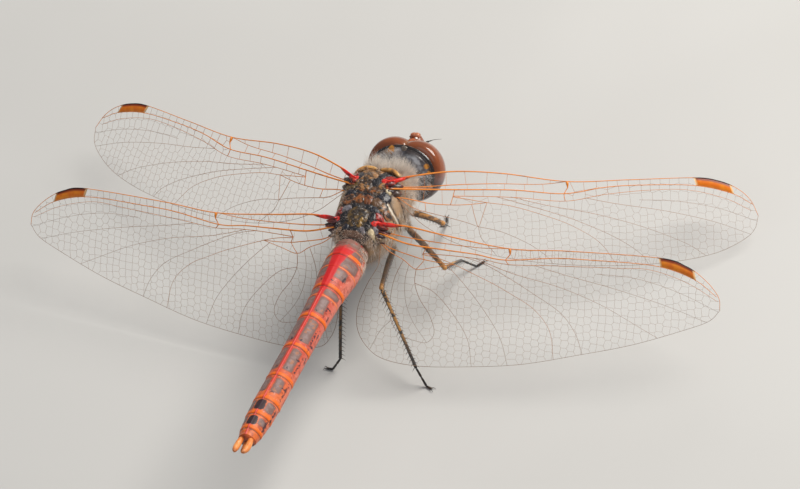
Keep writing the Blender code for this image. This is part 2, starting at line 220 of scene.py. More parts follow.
class Paint:
    """A procedural material built up in layers. Positions are in millimetres."""

    def __init__(self, name, colour, rough=0.5, **sockets):
        self.material = bpy.data.materials.new(name)
        self.material.use_nodes = True
        self.nodes = self.material.node_tree.nodes
        self.links = self.material.node_tree.links
        self.shader = self.nodes["Principled BSDF"]
        self.shader.inputs["Roughness"].default_value = rough
        for key, value in sockets.items():
            self.shader.inputs[key.replace("_", " ")].default_value = value
        place = self.nodes.new("ShaderNodeTexCoord")
        scale = self.nodes.new("ShaderNodeVectorMath")
        scale.operation = "SCALE"
        scale.inputs["Scale"].default_value = 1 / MM
        self.links.new(place.outputs["Object"], scale.inputs[0])
        self.place = scale.outputs[0]
        self.colour = None
        self.flat = (*colour, 1.0)

    def noise(self, scale, detail=3.0):
        """Cloudy noise, with so many clouds to the millimetre."""
        node = self.nodes.new("ShaderNodeTexNoise")
        node.inputs["Scale"].default_value = scale
        node.inputs["Detail"].default_value = detail
        self.links.new(self.place, node.inputs["Vector"])
        return node.outputs["Fac"]

    def cells(self, scale):
        """Distance from the middles of small cells."""
        node = self.nodes.new("ShaderNodeTexVoronoi")
        node.inputs["Scale"].default_value = scale
        self.links.new(self.place, node.inputs["Vector"])
        return node.outputs["Distance"]

    def mark(self, name):
        """A piece's numbers of that name."""
        node = self.nodes.new("ShaderNodeAttribute")
        node.attribute_name = name
        return node.outputs["Fac"]

    def math(self, operation, *values):
        node = self.nodes.new("ShaderNodeMath")
        node.operation = operation
        for socket, value in zip(node.inputs, values):
            if isinstance(value, (int, float)):
                socket.default_value = value
            else:
                self.links.new(value, socket)
        return node.outputs[0]

    def both(self, first, second):
        """Where two shares meet."""
        return self.math("MULTIPLY", first, second)

    def rest(self, share):
        """What a share leaves of 1."""
        return self.math("SUBTRACT", 1.0, share)

    def span(self, value, low, high, start=0.0, end=1.0):
        """Carries low..high to start..end, smoothly and clamped."""
        node = self.nodes.new("ShaderNodeMapRange")
        node.interpolation_type = "SMOOTHSTEP"
        for key, number in (("From Min", low), ("From Max", high), ("To Min", start), ("To Max", end)):
            node.inputs[key].default_value = number
        self.links.new(value, node.inputs["Value"])
        return node.outputs["Result"]

    def cloud(self, scale, detail, low, high):
        """Noise sharpened to patches: 0 up to low and 1 from high on."""
        return self.span(self.noise(scale, detail), low, high)

    def mark_span(self, name, *limits):
        """A mark's numbers from low to high, as a share."""
        return self.span(self.mark(name), *limits)

    def edge(self, name, ragged, scale, width, low=0.0):
        """1 where the named mark is above low, with a ragged edge."""
        spread = self.math("MULTIPLY_ADD", self.noise(scale), 2 * ragged, -ragged)
        return self.span(self.math("ADD", self.mark(name), spread), low - width, low + width)

    def layer(self, colour, share, strength=1.0):
        """Lays a colour over what is there, as far as share says."""
        node = self.nodes.new("ShaderNodeMix")
        node.data_type = "RGBA"
        if strength != 1.0:
            share = self.both(share, strength)
        self.links.new(share, node.inputs["Factor"])
        under, over = node.inputs[6], node.inputs[7]     # a Mix node's two colours
        if self.colour is None:
            under.default_value = self.flat
        else:
            self.links.new(self.colour, under)
        over.default_value = (*colour, 1.0)
        self.colour = node.outputs[2]

    def mottle(self, colour, scale, low, high, strength, detail=3.0):
        """Patches of a colour."""
        self.layer(colour, self.cloud(scale, detail, low, high), strength)

    def relief(self, height, distance, strength):
        """Bumps on the skin; distance is in millimetres."""
        node = self.nodes.new("ShaderNodeBump")
        node.inputs["Strength"].default_value = strength
        node.inputs["Distance"].default_value = distance * MM
        self.links.new(height, node.inputs["Height"])
        old = self.shader.inputs["Normal"]
        if old.is_linked:
            self.links.new(old.links[0].from_socket, node.inputs["Normal"])
        self.links.new(node.outputs[0], old)

    def done(self):
        if self.colour is not None:
            self.links.new(self.colour, self.shader.inputs["Base Color"])
        else:
            self.shader.inputs["Base Color"].default_value = self.flat
        return self.material


# ---- Wings ----
# A wing's own frame: x along the span from the hinge, y behind the line from hinge to nodus, z up.

def wing_matrix(hinge, side, sweep, dihedral, twist):
    """From the wing's own frame to the part's."""
    sweep, dihedral, twist = (math.radians(value) for value in (sweep, dihedral, twist))
    span = Vector((side * math.cos(dihedral) * math.cos(sweep), -math.cos(dihedral) * math.sin(sweep),
                   math.sin(dihedral)))
    level = Vector((side * math.sin(sweep), math.cos(sweep), 0))
    down = span.cross(level)
    if down.z > 0:
        down = -down
    chord = level * math.cos(twist) + down * math.sin(twist)
    frame_axes = Matrix((span, chord, -down * math.cos(twist) + level * math.sin(twist))).transposed()
    return BODY @ Matrix.Translation((side * hinge[0], hinge[1], hinge[2])) @ frame_axes.to_4x4()


# Each vein: its line, its radius at both ends, its height over the wing's mean plane, and its warmth,
# from 1 for orange to 0 for dark brown. The margin comes first: leading edge, then round the tip.
FORE_VEINS = {
    "costa": ([(-0.3, -0.42), (1.6, -0.80), (5.2, -1.10), (9.4, -0.80), (14.7, 0.02), (20.0, 0.02),
               (25.5, 0.0), (27.6, 0.32), (29.2, 1.02), (30.3, 2.05), (30.9, 3.40)], 0.085, 0.03, 0.06, 1.0),
    "margin": ([(30.9, 3.40), (30.5, 4.6), (29.3, 5.55), (27.0, 6.5), (23.5, 7.1), (19.0, 7.3),
                (14.0, 7.05), (9.0, 6.3), (5.0, 4.95), (2.5, 3.45), (1.2, 2.2), (0.3, 1.25), (-0.3, 1.0)],
               0.022, 0.022, 0.0, 0.3),
    "subcosta": ([(-0.3, 0.10), (2.5, 0.12), (5.0, 0.02), (8.6, 0.02), (12.3, 0.18), (14.7, 0.02)],
                 0.060, 0.035, -0.12, 0.85),
    "radius": ([(-0.3, 0.22), (2.5, 0.36), (5.0, 0.45), (10.0, 0.62), (14.4, 1.05), (17.8, 0.62),
                (20.7, 0.50), (25.5, 0.66), (28.7, 1.42), (30.45, 2.4)], 0.085, 0.030, 0.10, 1.0),
    "nodus": ([(14.7, 0.02), (14.75, 0.55), (14.42, 1.05), (14.5, 1.68)], 0.060, 0.040, 0.02, 1.0),
    "radial_1": ([(5.0, 0.98), (8.0, 1.10), (10.6, 1.28), (14.5, 1.68), (17.8, 1.22), (21.5, 0.95),
                  (25.0, 1.02), (28.2, 1.85), (30.35, 2.95)], 0.040, 0.020, -0.05, 0.75),
    "inter_1": ([(20.8, 1.75), (24.0, 1.95), (27.5, 2.65), (30.80, 3.85)], 0.018, 0.014, 0.03, 0.2),
    "radial_2": ([(16.2, 1.45), (19.0, 2.05), (23.0, 2.75), (27.0, 3.75), (30.2, 4.95)],
                 0.024, 0.016, -0.05, 0.3),
    "inter_2": ([(9.9, 1.20), (13.0, 2.02), (17.0, 2.85), (21.0, 4.05), (24.5, 5.5), (26.3, 6.65)],
                0.028, 0.016, 0.05, 0.4),
    "radial_3": ([(8.6, 1.12), (11.5, 2.02), (15.0, 3.20), (18.4, 4.75), (20.6, 6.2), (21.4, 7.24)],
                 0.028, 0.018, -0.05, 0.4),
    "median": ([(5.0, 1.05), (7.85, 1.62), (9.8, 1.95), (12.3, 2.72), (14.9, 3.75), (17.3, 5.3), (18.7, 7.3)],
               0.038, 0.018, 0.04, 0.6),
    "arculus": ([(5.15, 0.42), (5.0, 1.0), (4.75, 1.72)], 0.040, 0.035, 0.02, 0.9),
    "cubital": ([(-0.3, 0.88), (1.2, 1.12), (3.0, 1.55), (5.0, 1.74), (6.55, 1.72), (7.85, 1.62)],
                0.055, 0.035, -0.04, 0.8),
    "triangle": ([(7.85, 1.62), (7.45, 2.7), (7.05, 3.65), (6.75, 2.7), (6.55, 1.72)],
                 0.030, 0.030, 0.0, 0.5),
    "anal": ([(0.35, 1.0), (1.7, 1.95), (3.2, 2.42), (4.7, 2.85), (6.0, 3.25), (7.05, 3.65)],
             0.035, 0.026, 0.03, 0.35),
    "anal_cross": ([(2.6, 1.45), (2.65, 2.28)], 0.028, 0.028, 0.0, 0.5),
    "medial_back": ([(7.05, 3.65), (9.0, 4.15), (11.2, 5.20), (12.6, 6.2), (13.3, 7.0)],
                    0.028, 0.018, 0.03, 0.35),
    "cubital_back": ([(7.05, 3.65), (7.25, 4.6), (8.0, 5.5), (8.5, 6.15)], 0.026, 0.018, -0.03, 0.35),
}
HIND_VEINS = {
    "costa": ([(-0.3, -0.42), (2.0, -0.40), (5.5, 0.08), (10.9, 0.65), (16.0, 0.38), (23.6, 0.23),
               (26.0, 0.72), (27.7, 1.72), (28.9, 3.0), (29.1, 4.1)], 0.085, 0.03, 0.06, 1.0),
    "margin": ([(29.1, 4.1), (28.3, 5.05), (26.4, 5.95), (22.0, 7.65), (17.5, 8.95), (12.5, 10.25),
                (7.5, 10.95), (3.5, 11.25), (0.5, 10.9), (-1.05, 9.85), (-1.85, 8.4), (-1.85, 6.6),
                (-1.15, 4.65), (-0.4, 3.2), (-0.3, 2.3), (-0.3, 1.2)], 0.022, 0.024, 0.0, 0.3),
    "subcosta": ([(-0.3, 0.25), (3.0, 0.62), (8.0, 0.82), (10.9, 0.65)], 0.060, 0.035, -0.12, 0.85),
    "radius": ([(-0.3, 0.40), (2.1, 1.05), (5.2, 1.25), (8.0, 1.38), (10.6, 1.62), (14.8, 1.08), (17.8, 0.95),
                (23.4, 0.92), (26.7, 1.72), (28.75, 3.0)], 0.085, 0.030, 0.10, 1.0),
    "nodus": ([(10.9, 0.65), (10.95, 1.15), (10.6, 1.62), (10.9, 1.98)], 0.060, 0.040, 0.02, 1.0),
    "radial_1": ([(3.4, 1.75), (6.0, 1.70), (8.5, 1.76), (10.9, 1.98), (14.8, 1.72), (20.0, 1.42),
                  (23.0, 1.30), (26.2, 2.1), (28.85, 3.4)], 0.040, 0.020, -0.05, 0.75),
    "inter_1": ([(18.5, 2.05), (22.0, 2.15), (25.5, 2.95), (29.0, 4.25)], 0.018, 0.014, 0.03, 0.2),
    "radial_2": ([(13.0, 1.84), (16.0, 2.45), (20.0, 3.15), (24.5, 4.15), (28.0, 5.2)],
                 0.024, 0.016, -0.05, 0.3),
    "inter_2": ([(8.0, 1.74), (11.3, 2.70), (15.3, 3.45), (19.0, 4.6), (22.3, 6.1), (24.0, 6.9)],
                0.028, 0.016, 0.05, 0.4),
    "radial_3": ([(7.0, 1.70), (8.8, 2.15), (10.7, 2.98), (13.2, 4.25), (15.6, 5.6), (17.0, 7.2),
                  (17.7, 8.88)], 0.028, 0.018, -0.05, 0.4),
    "median": ([(3.4, 1.82), (4.8, 2.02), (6.2, 2.42), (9.4, 3.60), (11.1, 4.35), (13.3, 5.5), (14.8, 7.2),
                (15.3, 9.55)], 0.038, 0.018, 0.04, 0.6),
    "arculus": ([(3.75, 1.20), (3.45, 1.75), (3.6, 2.25)], 0.040, 0.035, 0.02, 0.9),
    "cubital": ([(-0.3, 1.05), (0.55, 1.55), (2.9, 2.12), (3.6, 2.25), (4.9, 2.38), (6.2, 2.42)],
                0.055, 0.035, -0.04, 0.9),
    "anal": ([(-0.3, 1.20), (0.55, 1.85), (1.8, 2.42), (2.95, 3.12), (4.5, 2.80), (6.2, 2.42)],
             0.040, 0.030, 0.03, 0.7),
    "triangle": ([(3.6, 2.25), (3.3, 2.7), (2.95, 3.12)], 0.030, 0.030, 0.0, 0.7),
    "loop_right": ([(2.95, 3.12), (2.92, 4.3), (3.45, 5.6), (4.4, 6.9), (4.9, 8.3), (4.3, 9.2), (3.0, 9.1)],
                   0.028, 0.018, 0.02, 0.35),
    "loop_left": ([(1.8, 2.42), (1.15, 4.0), (0.9, 5.8), (1.1, 7.6), (1.9, 8.7), (3.0, 9.1)],
                  0.024, 0.018, 0.02, 0.3),
    "loop_mid": ([(2.3, 2.72), (2.05, 4.2), (2.25, 6.0), (3.0, 7.6), (4.3, 9.2)], 0.018, 0.014, -0.02, 0.3),
    "medial_back": ([(5.6, 2.52), (7.4, 4.2), (9.2, 6.2), (10.6, 8.2), (11.4, 10.45)],
                    0.026, 0.018, 0.03, 0.35),
    "cubital_back": ([(2.92, 4.3), (4.6, 4.9), (6.4, 6.6), (7.8, 8.6), (8.3, 10.85)],
                     0.026, 0.018, -0.03, 0.35),
    "heel": ([(1.1, 7.6), (0.2, 8.6), (-0.6, 10.25)], 0.018, 0.014, 0.0, 0.3),
}
# The veins, the ends of the stigma along the span, and the place of the nodus along it.
WING_KINDS = {
    "fore": (FORE_VEINS, (25.5, 28.7), 14.7),
    "hind": (HIND_VEINS, (23.6, 26.7), 10.9),
}
HINGE_END = -0.3                  # where the veins end at the hinge, along the span
CELL_SPACING = (1.75, 1.25)       # crossvein spacing behind the leading edge, before and past the nodus
FINE_SPACING = 0.62               # the same further back
FRONT_ROW, ROW_LOSS = 1.25, 0.62  # height of a row of cells at the front, and how much less it is behind
CELL_JITTER = (0.13, 0.10)        # how far the cells' middles stray, along and across
TINY = 1e-12                      # an area below this counts as nothing


def ring_edges(ring):
    """The sides of a closed ring of points: their starts and their ends."""
    return np.asarray(ring), np.roll(ring, -1, 0)


def inside(sides, points):
    """Which points lie within a closed set of sides."""
    points = np.atleast_2d(points)
    x, y = points[:, 0][:, None], points[:, 1][:, None]
    x0, y0, x1, y1 = (values[None] for values in (*sides[0].T, *sides[1].T))
    crosses = (y0 > y) != (y1 > y)
    at = x0 + (y - y0) * (x1 - x0) / np.where(y1 == y0, 1e-9, y1 - y0)
    return (crosses & (x < at)).sum(1) % 2 == 1


def cell_size(x, y, nodus):
    """Crossvein spacing, and the height of a row of cells, at a place on the wing."""
    back = max(y, 0.0)
    spacing = CELL_SPACING[0 if x < nodus else 1]
    spacing = spacing + (FINE_SPACING - spacing) * min(back / 3.2, 1.0)
    return spacing, FRONT_ROW - ROW_LOSS * min(back / 3.0, 1.0)


def cell_seeds(sides, nodus):
    """Middles of the cells of one field between veins: columns of one or more, every other one shifted."""
    seeds, column = [], 0
    starts, ends = sides
    x, high = starts[:, 0].min() + 0.3, starts[:, 0].max()
    while x < high:
        met = (starts[:, 0] > x) != (ends[:, 0] > x)
        run = ends[met] - starts[met]
        levels = np.sort(starts[met][:, 1] + (x - starts[met][:, 0]) * run[:, 1] / run[:, 0])
        step = 1.0
        for low, top in zip(levels[::2], levels[1::2]):
            spacing, height = cell_size(x, (low + top) / 2, nodus)
            count = max(1, int(round((top - low) / height)))
            step = spacing if count == 1 else min(spacing, height * 1.05)
            for index in range(count):
                shift = (0.25 if column % 2 else -0.25) if count > 1 else 0.0
                y = low + (top - low) * (index + 0.5 + shift) / count
                seeds.append((x + random.uniform(-CELL_JITTER[0], CELL_JITTER[0]) * step,
                              y + random.uniform(-CELL_JITTER[1], CELL_JITTER[1]) * (top - low) / count))
        column += 1
        x += step
    seeds = np.array(seeds).reshape(-1, 2)
    return seeds[inside(sides, seeds)] if len(seeds) else seeds


def circle_middle(a, b, c):
    """The middle of the circle through three points."""
    b, c = b - a, c - a
    area = 2 * (b.x * c.y - b.y * c.x)
    if abs(area) < TINY:
        return a + (b + c) / 3
    b2, c2 = b.length_squared, c.length_squared
    return a + Vector((c.y * b2 - b.y * c2, b.x * c2 - c.x * b2)) / area


def cell_walls(seeds, field):
    """Lines midway between neighbouring cell middles, kept to the field."""
    reach = 90
    far = [(seeds[:, 0].mean() + reach * math.cos(turn), seeds[:, 1].mean() + reach * math.sin(turn))
           for turn in turns(12)]
    points = [Vector(seed) for seed in seeds.tolist()] + [Vector(spot) for spot in far]
    spots, _, triangles, _, _, _ = geometry.delaunay_2d_cdt(points, [], [], 0, 1e-6)
    centres = [circle_middle(*(spots[corner] for corner in triangle)) for triangle in triangles]
    sides = {}
    for number, triangle in enumerate(triangles):
        for a, b in zip(triangle, triangle[1:] + triangle[:1]):
            sides.setdefault((min(a, b), max(a, b)), []).append(number)
    starts, ends = field
    walls = []
    for pair in sides.values():
        if len(pair) != 2:
            continue
        p, q = (np.array(centres[number]) for number in pair)
        along, edge = q - p, ends - starts
        if np.hypot(*along) < 0.03:
            continue
        cross = along[0] * edge[:, 1] - along[1] * edge[:, 0]
        cross = np.where(np.abs(cross) < TINY, TINY, cross)
        gap = starts - p
        t = (gap[:, 0] * edge[:, 1] - gap[:, 1] * edge[:, 0]) / cross
        s = (gap[:, 0] * along[1] - gap[:, 1] * along[0]) / cross
        cuts = [0.0, *sorted(t[(t > 0) & (t < 1) & (s >= 0) & (s <= 1)]), 1.0]
        for low, high in zip(cuts, cuts[1:]):
            if high - low > 1e-4 and inside(field, p + along * (low + high) / 2)[0]:
                walls.append((p + along * low, p + along * high))
    return walls


def wing_fields(points, lines, outline):
    """The closed fields that the main veins divide the wing into, each as its sides."""
    flat, edges, triangles, _, from_line, _ = geometry.delaunay_2d_cdt(points, lines, [], 0, 1e-4)
    flat = np.array(flat)
    walls = {(min(a, b), max(a, b)) for (a, b), origins in zip(edges, from_line) if origins}
    within = inside(outline, flat[np.array(triangles)].mean(1))
    home = list(range(len(triangles)))

    def top(number):
        while home[number] != number:
            home[number] = home[home[number]]
            number = home[number]
        return number

    beside = {}
    for number, triangle in enumerate(triangles):
        for a, b in zip(triangle, triangle[1:] + triangle[:1]):
            side = (min(a, b), max(a, b))
            if side in beside and side not in walls:
                home[top(number)] = top(beside[side])
            beside[side] = number
    fields = {}
    for number, triangle in enumerate(triangles):
        if within[number]:
            sides = fields.setdefault(top(number), [])
            for a, b in zip(triangle, triangle[1:] + triangle[:1]):
                if (min(a, b), max(a, b)) in walls:
                    sides.append((a, b))
    return [tuple(flat[np.array(sides)].transpose(1, 0, 2)) for sides in fields.values()]


def main_veins(veins):
    """The main veins as one set of points with heights, the lines between them, and the wing's outline."""
    spots, lines, heights, outline = [], [], [], []
    length = max(x for x, _ in veins["costa"][0])
    for name, (control, _, _, height, _) in veins.items():
        line = smooth_line(control)
        if name in ("costa", "margin"):
            outline.append(line)
        lines.extend((len(spots) + step, len(spots) + step + 1) for step in range(len(line) - 1))
        heights.extend(height * (1 - 0.6 * np.clip(line[:, 0] / length, 0, 1)))
        spots.extend(line.tolist())
    lines.append((sum(len(line) for line in outline) - 1, 0))
    return spots, lines, heights, ring_edges(np.vstack([line[:-1] for line in outline]))


def wing_network(veins, nodus):
    """The wing as a flat graph: its points with their heights, its triangles, and its fine veins."""
    spots, lines, heights, outline = main_veins(veins)
    mains = len(lines)
    middles = []
    for field in wing_fields([Vector(spot) for spot in spots], lines, outline):
        seeds = cell_seeds(field, nodus)
        middles.extend(seeds.tolist())
        if len(seeds) > 1:
            for start, end in cell_walls(seeds, field):
                lines.append((len(spots), len(spots) + 1))
                spots.extend([start.tolist(), end.tolist()])
    count = len(spots)
    points = [Vector(spot) for spot in spots + middles]
    flat, edges, triangles, from_spot, from_line, _ = geometry.delaunay_2d_cdt(points, lines, [], 0, 2e-3)
    flat = np.array(flat)
    triangles = np.array([face for face in triangles if len(face) == 3])
    triangles = triangles[inside(outline, flat[triangles].mean(1))]
    z, held = np.zeros(len(flat)), np.zeros(len(flat), bool)
    for number, origins in enumerate(from_spot):
        near = [origin for origin in origins if origin < len(heights)]
        if near:
            z[number], held[number] = heights[near[0]], True
    fine = []
    for (a, b), origins in zip(edges, from_line):
        main = [origin for origin in origins if origin < mains]
        for end in (a, b) if main else ():
            if not held[end] and main[0] < mains - 1:
                start, stop = lines[main[0]]
                z[end], held[end] = (heights[start] + heights[stop]) / 2, True
        if origins and not main:
            fine.append((a, b))
    z = relaxed_heights(z, held, triangles, from_spot, count)
    return flat, z, triangles, fine, edges, from_line


def relaxed_heights(z, held, triangles, from_spot, count):
    """Heights between the main veins, as of a film stretched over them, each cell a little domed."""
    pairs = np.vstack([triangles[:, [0, 1]], triangles[:, [1, 2]], triangles[:, [2, 0]]])
    pairs = np.vstack([pairs, pairs[:, ::-1]])
    degree = np.bincount(pairs[:, 0], minlength=len(z)).clip(1)
    for _ in range(60):
        z = np.where(held, z, np.bincount(pairs[:, 0], z[pairs[:, 1]], minlength=len(z)) / degree)
    for number, origins in enumerate(from_spot):
        if origins and min(origins) >= count:
            z[number] += random.uniform(-0.035, 0.035)
    return z


def height_over(flat, z, line):
    """The film's height along a line, from its nearest points."""
    gaps = ((line[:, None] - flat[None]) ** 2).sum(2)
    nearest = np.argsort(gaps, 1)[:, :3]
    weights = 1 / (np.take_along_axis(gaps, nearest, 1) + 1e-4)
    return (z[nearest] * weights).sum(1) / weights.sum(1)


def add_wing(name, paints):
    """One wing: its film, its veins, the plates at its root and the coloured cell near its tip."""
    kind = "fore" if "fore" in name else "hind"
    veins, stigma, nodus = WING_KINDS[kind]
    random.seed(name)
    if name == "wing_hind_left":             # its inner lobe is narrower, clear of the leg
        veins = {key: ([(x * 0.6 if x < HINGE_END else x, y) for x, y in value[0]], *value[1:])
                 for key, value in veins.items()}
    matrix = wing_matrix(*WING_POSE[name])
    flat, z, triangles, fine, edges, from_line = wing_network(veins, nodus)
    film = add_piece(name + "_film", np.column_stack([flat, z]), triangles, paints["film"], matrix,
                     replaces=[name], slot="wing", marks={"base": 1 - ease(flat[:, 0], 0.0, 3.0)})
    sharpen(film, edges, from_line)
    shape = Shape("warm", "base", "dark")
    for key, vein in veins.items():
        add_main_vein(shape, key, vein, flat, z, stigma)
    for ends in fine:
        add_fine_vein(shape, np.column_stack([flat[list(ends)], z[list(ends)]]), nodus)
    shape.piece(name + "_veins", paints["vein"], matrix=matrix, slot="wing")
    add_wing_root(name, kind, paints["root"], matrix)
    add_stigma(name, veins, *stigma, paints["stigma"], matrix)


def add_main_vein(shape, key, vein, flat, z, stigma):
    """A tube that thins outwards, thicker near the hinge, at the nodus and along the stigma."""
    control, thick, thin, _, warmth = vein
    line, sides = smooth_line(control), 6
    if line[0, 0] == HINGE_END and key != "margin":
        line = np.vstack([line[0] + (HINGE_END, 0.0), line])
    share = np.linspace(0, 1, len(line))
    along, behind = line.T
    radii = 0.76 * (thin + (thick - thin) * (1 - share) ** 1.2) * (1.25 - 0.25 * ease(along, 2.0, 8.0))
    warm = warmth - 0.25 * ease(behind, 1.5, 5.0)
    if key != "margin":
        near = (1 - ease(along, 4.0, 12.0)) * (1 - ease(behind, 1.4, 3.0))
        warm = np.maximum(warm, 0.9 * near)
    if key == "nodus":
        radii = radii + 0.09 * (1 - ease(share, 0.05, 0.4))
    dark, base = np.zeros(len(line)), np.zeros(len(line))
    if key == "costa":
        start, end = stigma
        dark = ease(along, start - 0.1, start + 0.1) * (1 - ease(along, end - 0.1, end + 0.15))
        radii = radii + 0.02 * dark
        base = 1 - ease(along, 0.5, 1.9)
    points, faces = tube(np.column_stack([line, height_over(flat, z, line)]), radii, sides)
    warm, dark, base = (np.repeat(values, sides) for values in (warm, dark, base))
    shape.add(points, faces, warm=warm, dark=dark, base=base)


def add_fine_vein(shape, ends, nodus):
    """One side of a cell: warmer and thicker towards the leading edge and the hinge."""
    along, behind = ends.mean(0)[:2]
    front = 1 - ease(behind, 0.9, 1.8)
    radius = 0.009 + 0.008 * front * (1 - ease(along, nodus, nodus + 12))
    points, faces = tube(ends, radius, sides=4, caps=False)
    shape.add(points, faces, warm=0.1 + 0.6 * front * (1 - ease(along, nodus - 2, nodus + 8)))


# Hard plates at a wing's root: middle and half sizes in the wing's frame, turn, and how red and how dark.
WING_ROOTS = {
    "fore": (
        ((0.50, -0.50, 0.04), (1.00, 0.17, 0.12), -13, 1.0, 0.0),
        ((-0.25, -0.18, 0.02), (0.50, 0.22, 0.15), -10, 0.7, 0.3),
        ((-0.20, 0.20, 0.06), (0.50, 0.10, 0.12), 5, 0.4, 0.4),
        ((-0.40, 0.46, 0.04), (0.50, 0.20, 0.18), 0, 0.0, 1.0),
        ((-0.30, 0.90, 0.0), (0.45, 0.16, 0.15), 10, 0.0, 0.75),
        ((-0.45, 0.68, 0.08), (0.30, 0.15, 0.18), 0, 0.0, 0.2),
        ((0.25, 0.10, -0.12), (0.62, 0.36, 0.26), -8, 0.0, 0.92),
        ((0.22, 0.66, -0.10), (0.50, 0.32, 0.26), 6, 0.0, 0.85),
    ),
    "hind": (
        ((0.40, -0.38, 0.04), (1.12, 0.20, 0.13), 1, 1.0, 0.0),
        ((-0.20, -0.08, 0.02), (0.55, 0.22, 0.15), 4, 0.6, 0.4),
        ((-0.10, 0.34, 0.06), (0.55, 0.11, 0.12), 14, 0.4, 0.4),
        ((-0.40, 0.66, 0.04), (0.55, 0.22, 0.18), 8, 0.0, 1.0),
        ((-0.35, 1.08, 0.0), (0.48, 0.18, 0.15), 20, 0.0, 0.6),
        ((-0.45, 0.88, 0.08), (0.30, 0.15, 0.18), 0, 0.0, 0.2),
        ((0.05, 0.30, -0.12), (0.50, 0.26, 0.20), 4, 0.0, 0.92),
    ),
}


def add_wing_root(name, kind, paint, matrix):
    """The plates as egg shapes that are slimmer towards the tip."""
    shape = Shape("red", "dark", "out", "inner")
    rows, columns = 15, 28
    for middle, size, turn, red, dark in WING_ROOTS[kind]:
        points, faces = dome((0, 0, 0), size, rows, columns)
        taper = 1 - 0.45 * np.clip(points[:, 0] / size[0], 0, 1)
        points[:, 1:] *= taper[:, None]
        turned = Matrix.Translation(middle) @ Matrix.Rotation(math.radians(turn), 4, "Z")
        points = moved(points, turned)
        shape.add(points, faces, red=red, dark=dark, out=ease(points[:, 0], 0.7, 1.8),
                  inner=1 - ease(points[:, 0], -0.5, 0.9))
    shape.piece(name + "_root", paint, matrix=matrix, slot="wing")


def sharpen(film, edges, from_line):
    """Creases the film along its veins, so that each cell shines on its own."""
    creased = {(min(a, b), max(a, b)) for (a, b), origins in zip(edges, from_line) if origins}
    flags = [tuple(sorted(edge.vertices)) in creased for edge in film.data.edges]
    layer = film.data.attributes.new("sharp_edge", "BOOLEAN", "EDGE")
    layer.data.foreach_set("value", flags)


# The stigma's section: how far back from the leading edge to the radius, and height over the middle.
STIGMA_SECTION = ((0, 0.0), (0.12, 0.05), (0.5, 0.075), (0.88, 0.05), (1, 0.0), (0.88, -0.05),
                  (0.5, -0.075), (0.12, -0.05))
STIGMA_SLANT = 0.22


def add_stigma(name, veins, start, end, paint, matrix):
    """The coloured cell near the wing tip, between the leading edge and the radius."""
    fronts, backs = smooth_line(veins["costa"][0]), smooth_line(veins["radius"][0])
    x = np.linspace(start, end, 28)
    front = np.interp(x, fronts[:, 0], fronts[:, 1])
    back = np.interp(x + STIGMA_SLANT, backs[:, 0], backs[:, 1])
    inward = np.minimum(x - start, end - x)
    swell = np.minimum(1, inward * 6 + 0.1)
    rows = []
    for share, lift in STIGMA_SECTION:
        rows.append(np.column_stack([x + STIGMA_SLANT * share, front + (back - front) * share,
                                     0.03 + lift * swell]))
    points = np.stack(rows, 1).reshape(-1, 3)
    sides = len(rows)
    caps = [tuple(range(sides)), tuple(range(len(points) - sides, len(points)))]
    marks = {"front": np.tile([share for share, _ in STIGMA_SECTION], len(x)),
             "end": np.repeat(inward, sides)}
    add_piece(name + "_stigma", points, grid_faces(len(x), sides) + caps, paint, matrix, slot="wing",
              marks=marks)


def wing_paints():
    film = Paint("wing_film", (0.80, 0.78, 0.76), 0.10, Alpha=0.045, IOR=1.6)
    film.mottle((0.62, 0.60, 0.62), 0.9, 0.4, 0.7, 0.5)
    film.layer((0.90, 0.62, 0.28), film.mark("base"), 0.4)
    film.relief(film.noise(6.0, 2.0), 0.02, 0.35)
    vein = Paint("wing_vein", (0.23, 0.155, 0.11), 0.35)
    vein.layer((0.88, 0.27, 0.028), vein.mark("warm"))
    vein.mottle((0.30, 0.10, 0.03), 1.4, 0.5, 0.75, 0.5)
    vein.layer((0.80, 0.015, 0.012), vein.mark("base"))
    vein.layer((0.012, 0.010, 0.010), vein.mark("dark"))
    stigma = Paint("wing_stigma", (0.80, 0.17, 0.003), 0.4)
    stigma.mottle((0.92, 0.28, 0.006), 1.6, 0.4, 0.65, 0.8)
    stigma.layer((0.20, 0.025, 0.004), stigma.mark_span("front", 0.42, 0.15))
    stigma.layer((0.80, 0.38, 0.10), stigma.mark_span("front", 0.78, 0.95), 0.5)
    stigma.layer((0.85, 0.55, 0.26), stigma.mark_span("end", 0.24, 0.06))
    stigma.relief(stigma.noise(9.0), 0.02, 0.4)
    root = Paint("wing_root", (0.40, 0.24, 0.10), 0.28, Coat_Weight=0.3)
    root.layer((0.014, 0.012, 0.020), root.mark("dark"), 0.95)
    root.layer((0.80, 0.020, 0.012), root.mark("red"))
    root.layer((0.86, 0.30, 0.04), root.both(root.mark("red"), root.mark("out")), 0.85)
    root.mottle((0.10, 0.008, 0.010), 2.2, 0.54, 0.62, 0.85)
    root.layer((0.030, 0.010, 0.014), root.both(root.mark("inner"), root.cloud(1.7, 4.0, 0.42, 0.52)), 0.9)
    root.relief(root.noise(6.0, 3.0), 0.08, 0.8)
    return {"film": film.done(), "vein": vein.done(), "stigma": stigma.done(), "root": root.done()}


# ---- Abdomen ----

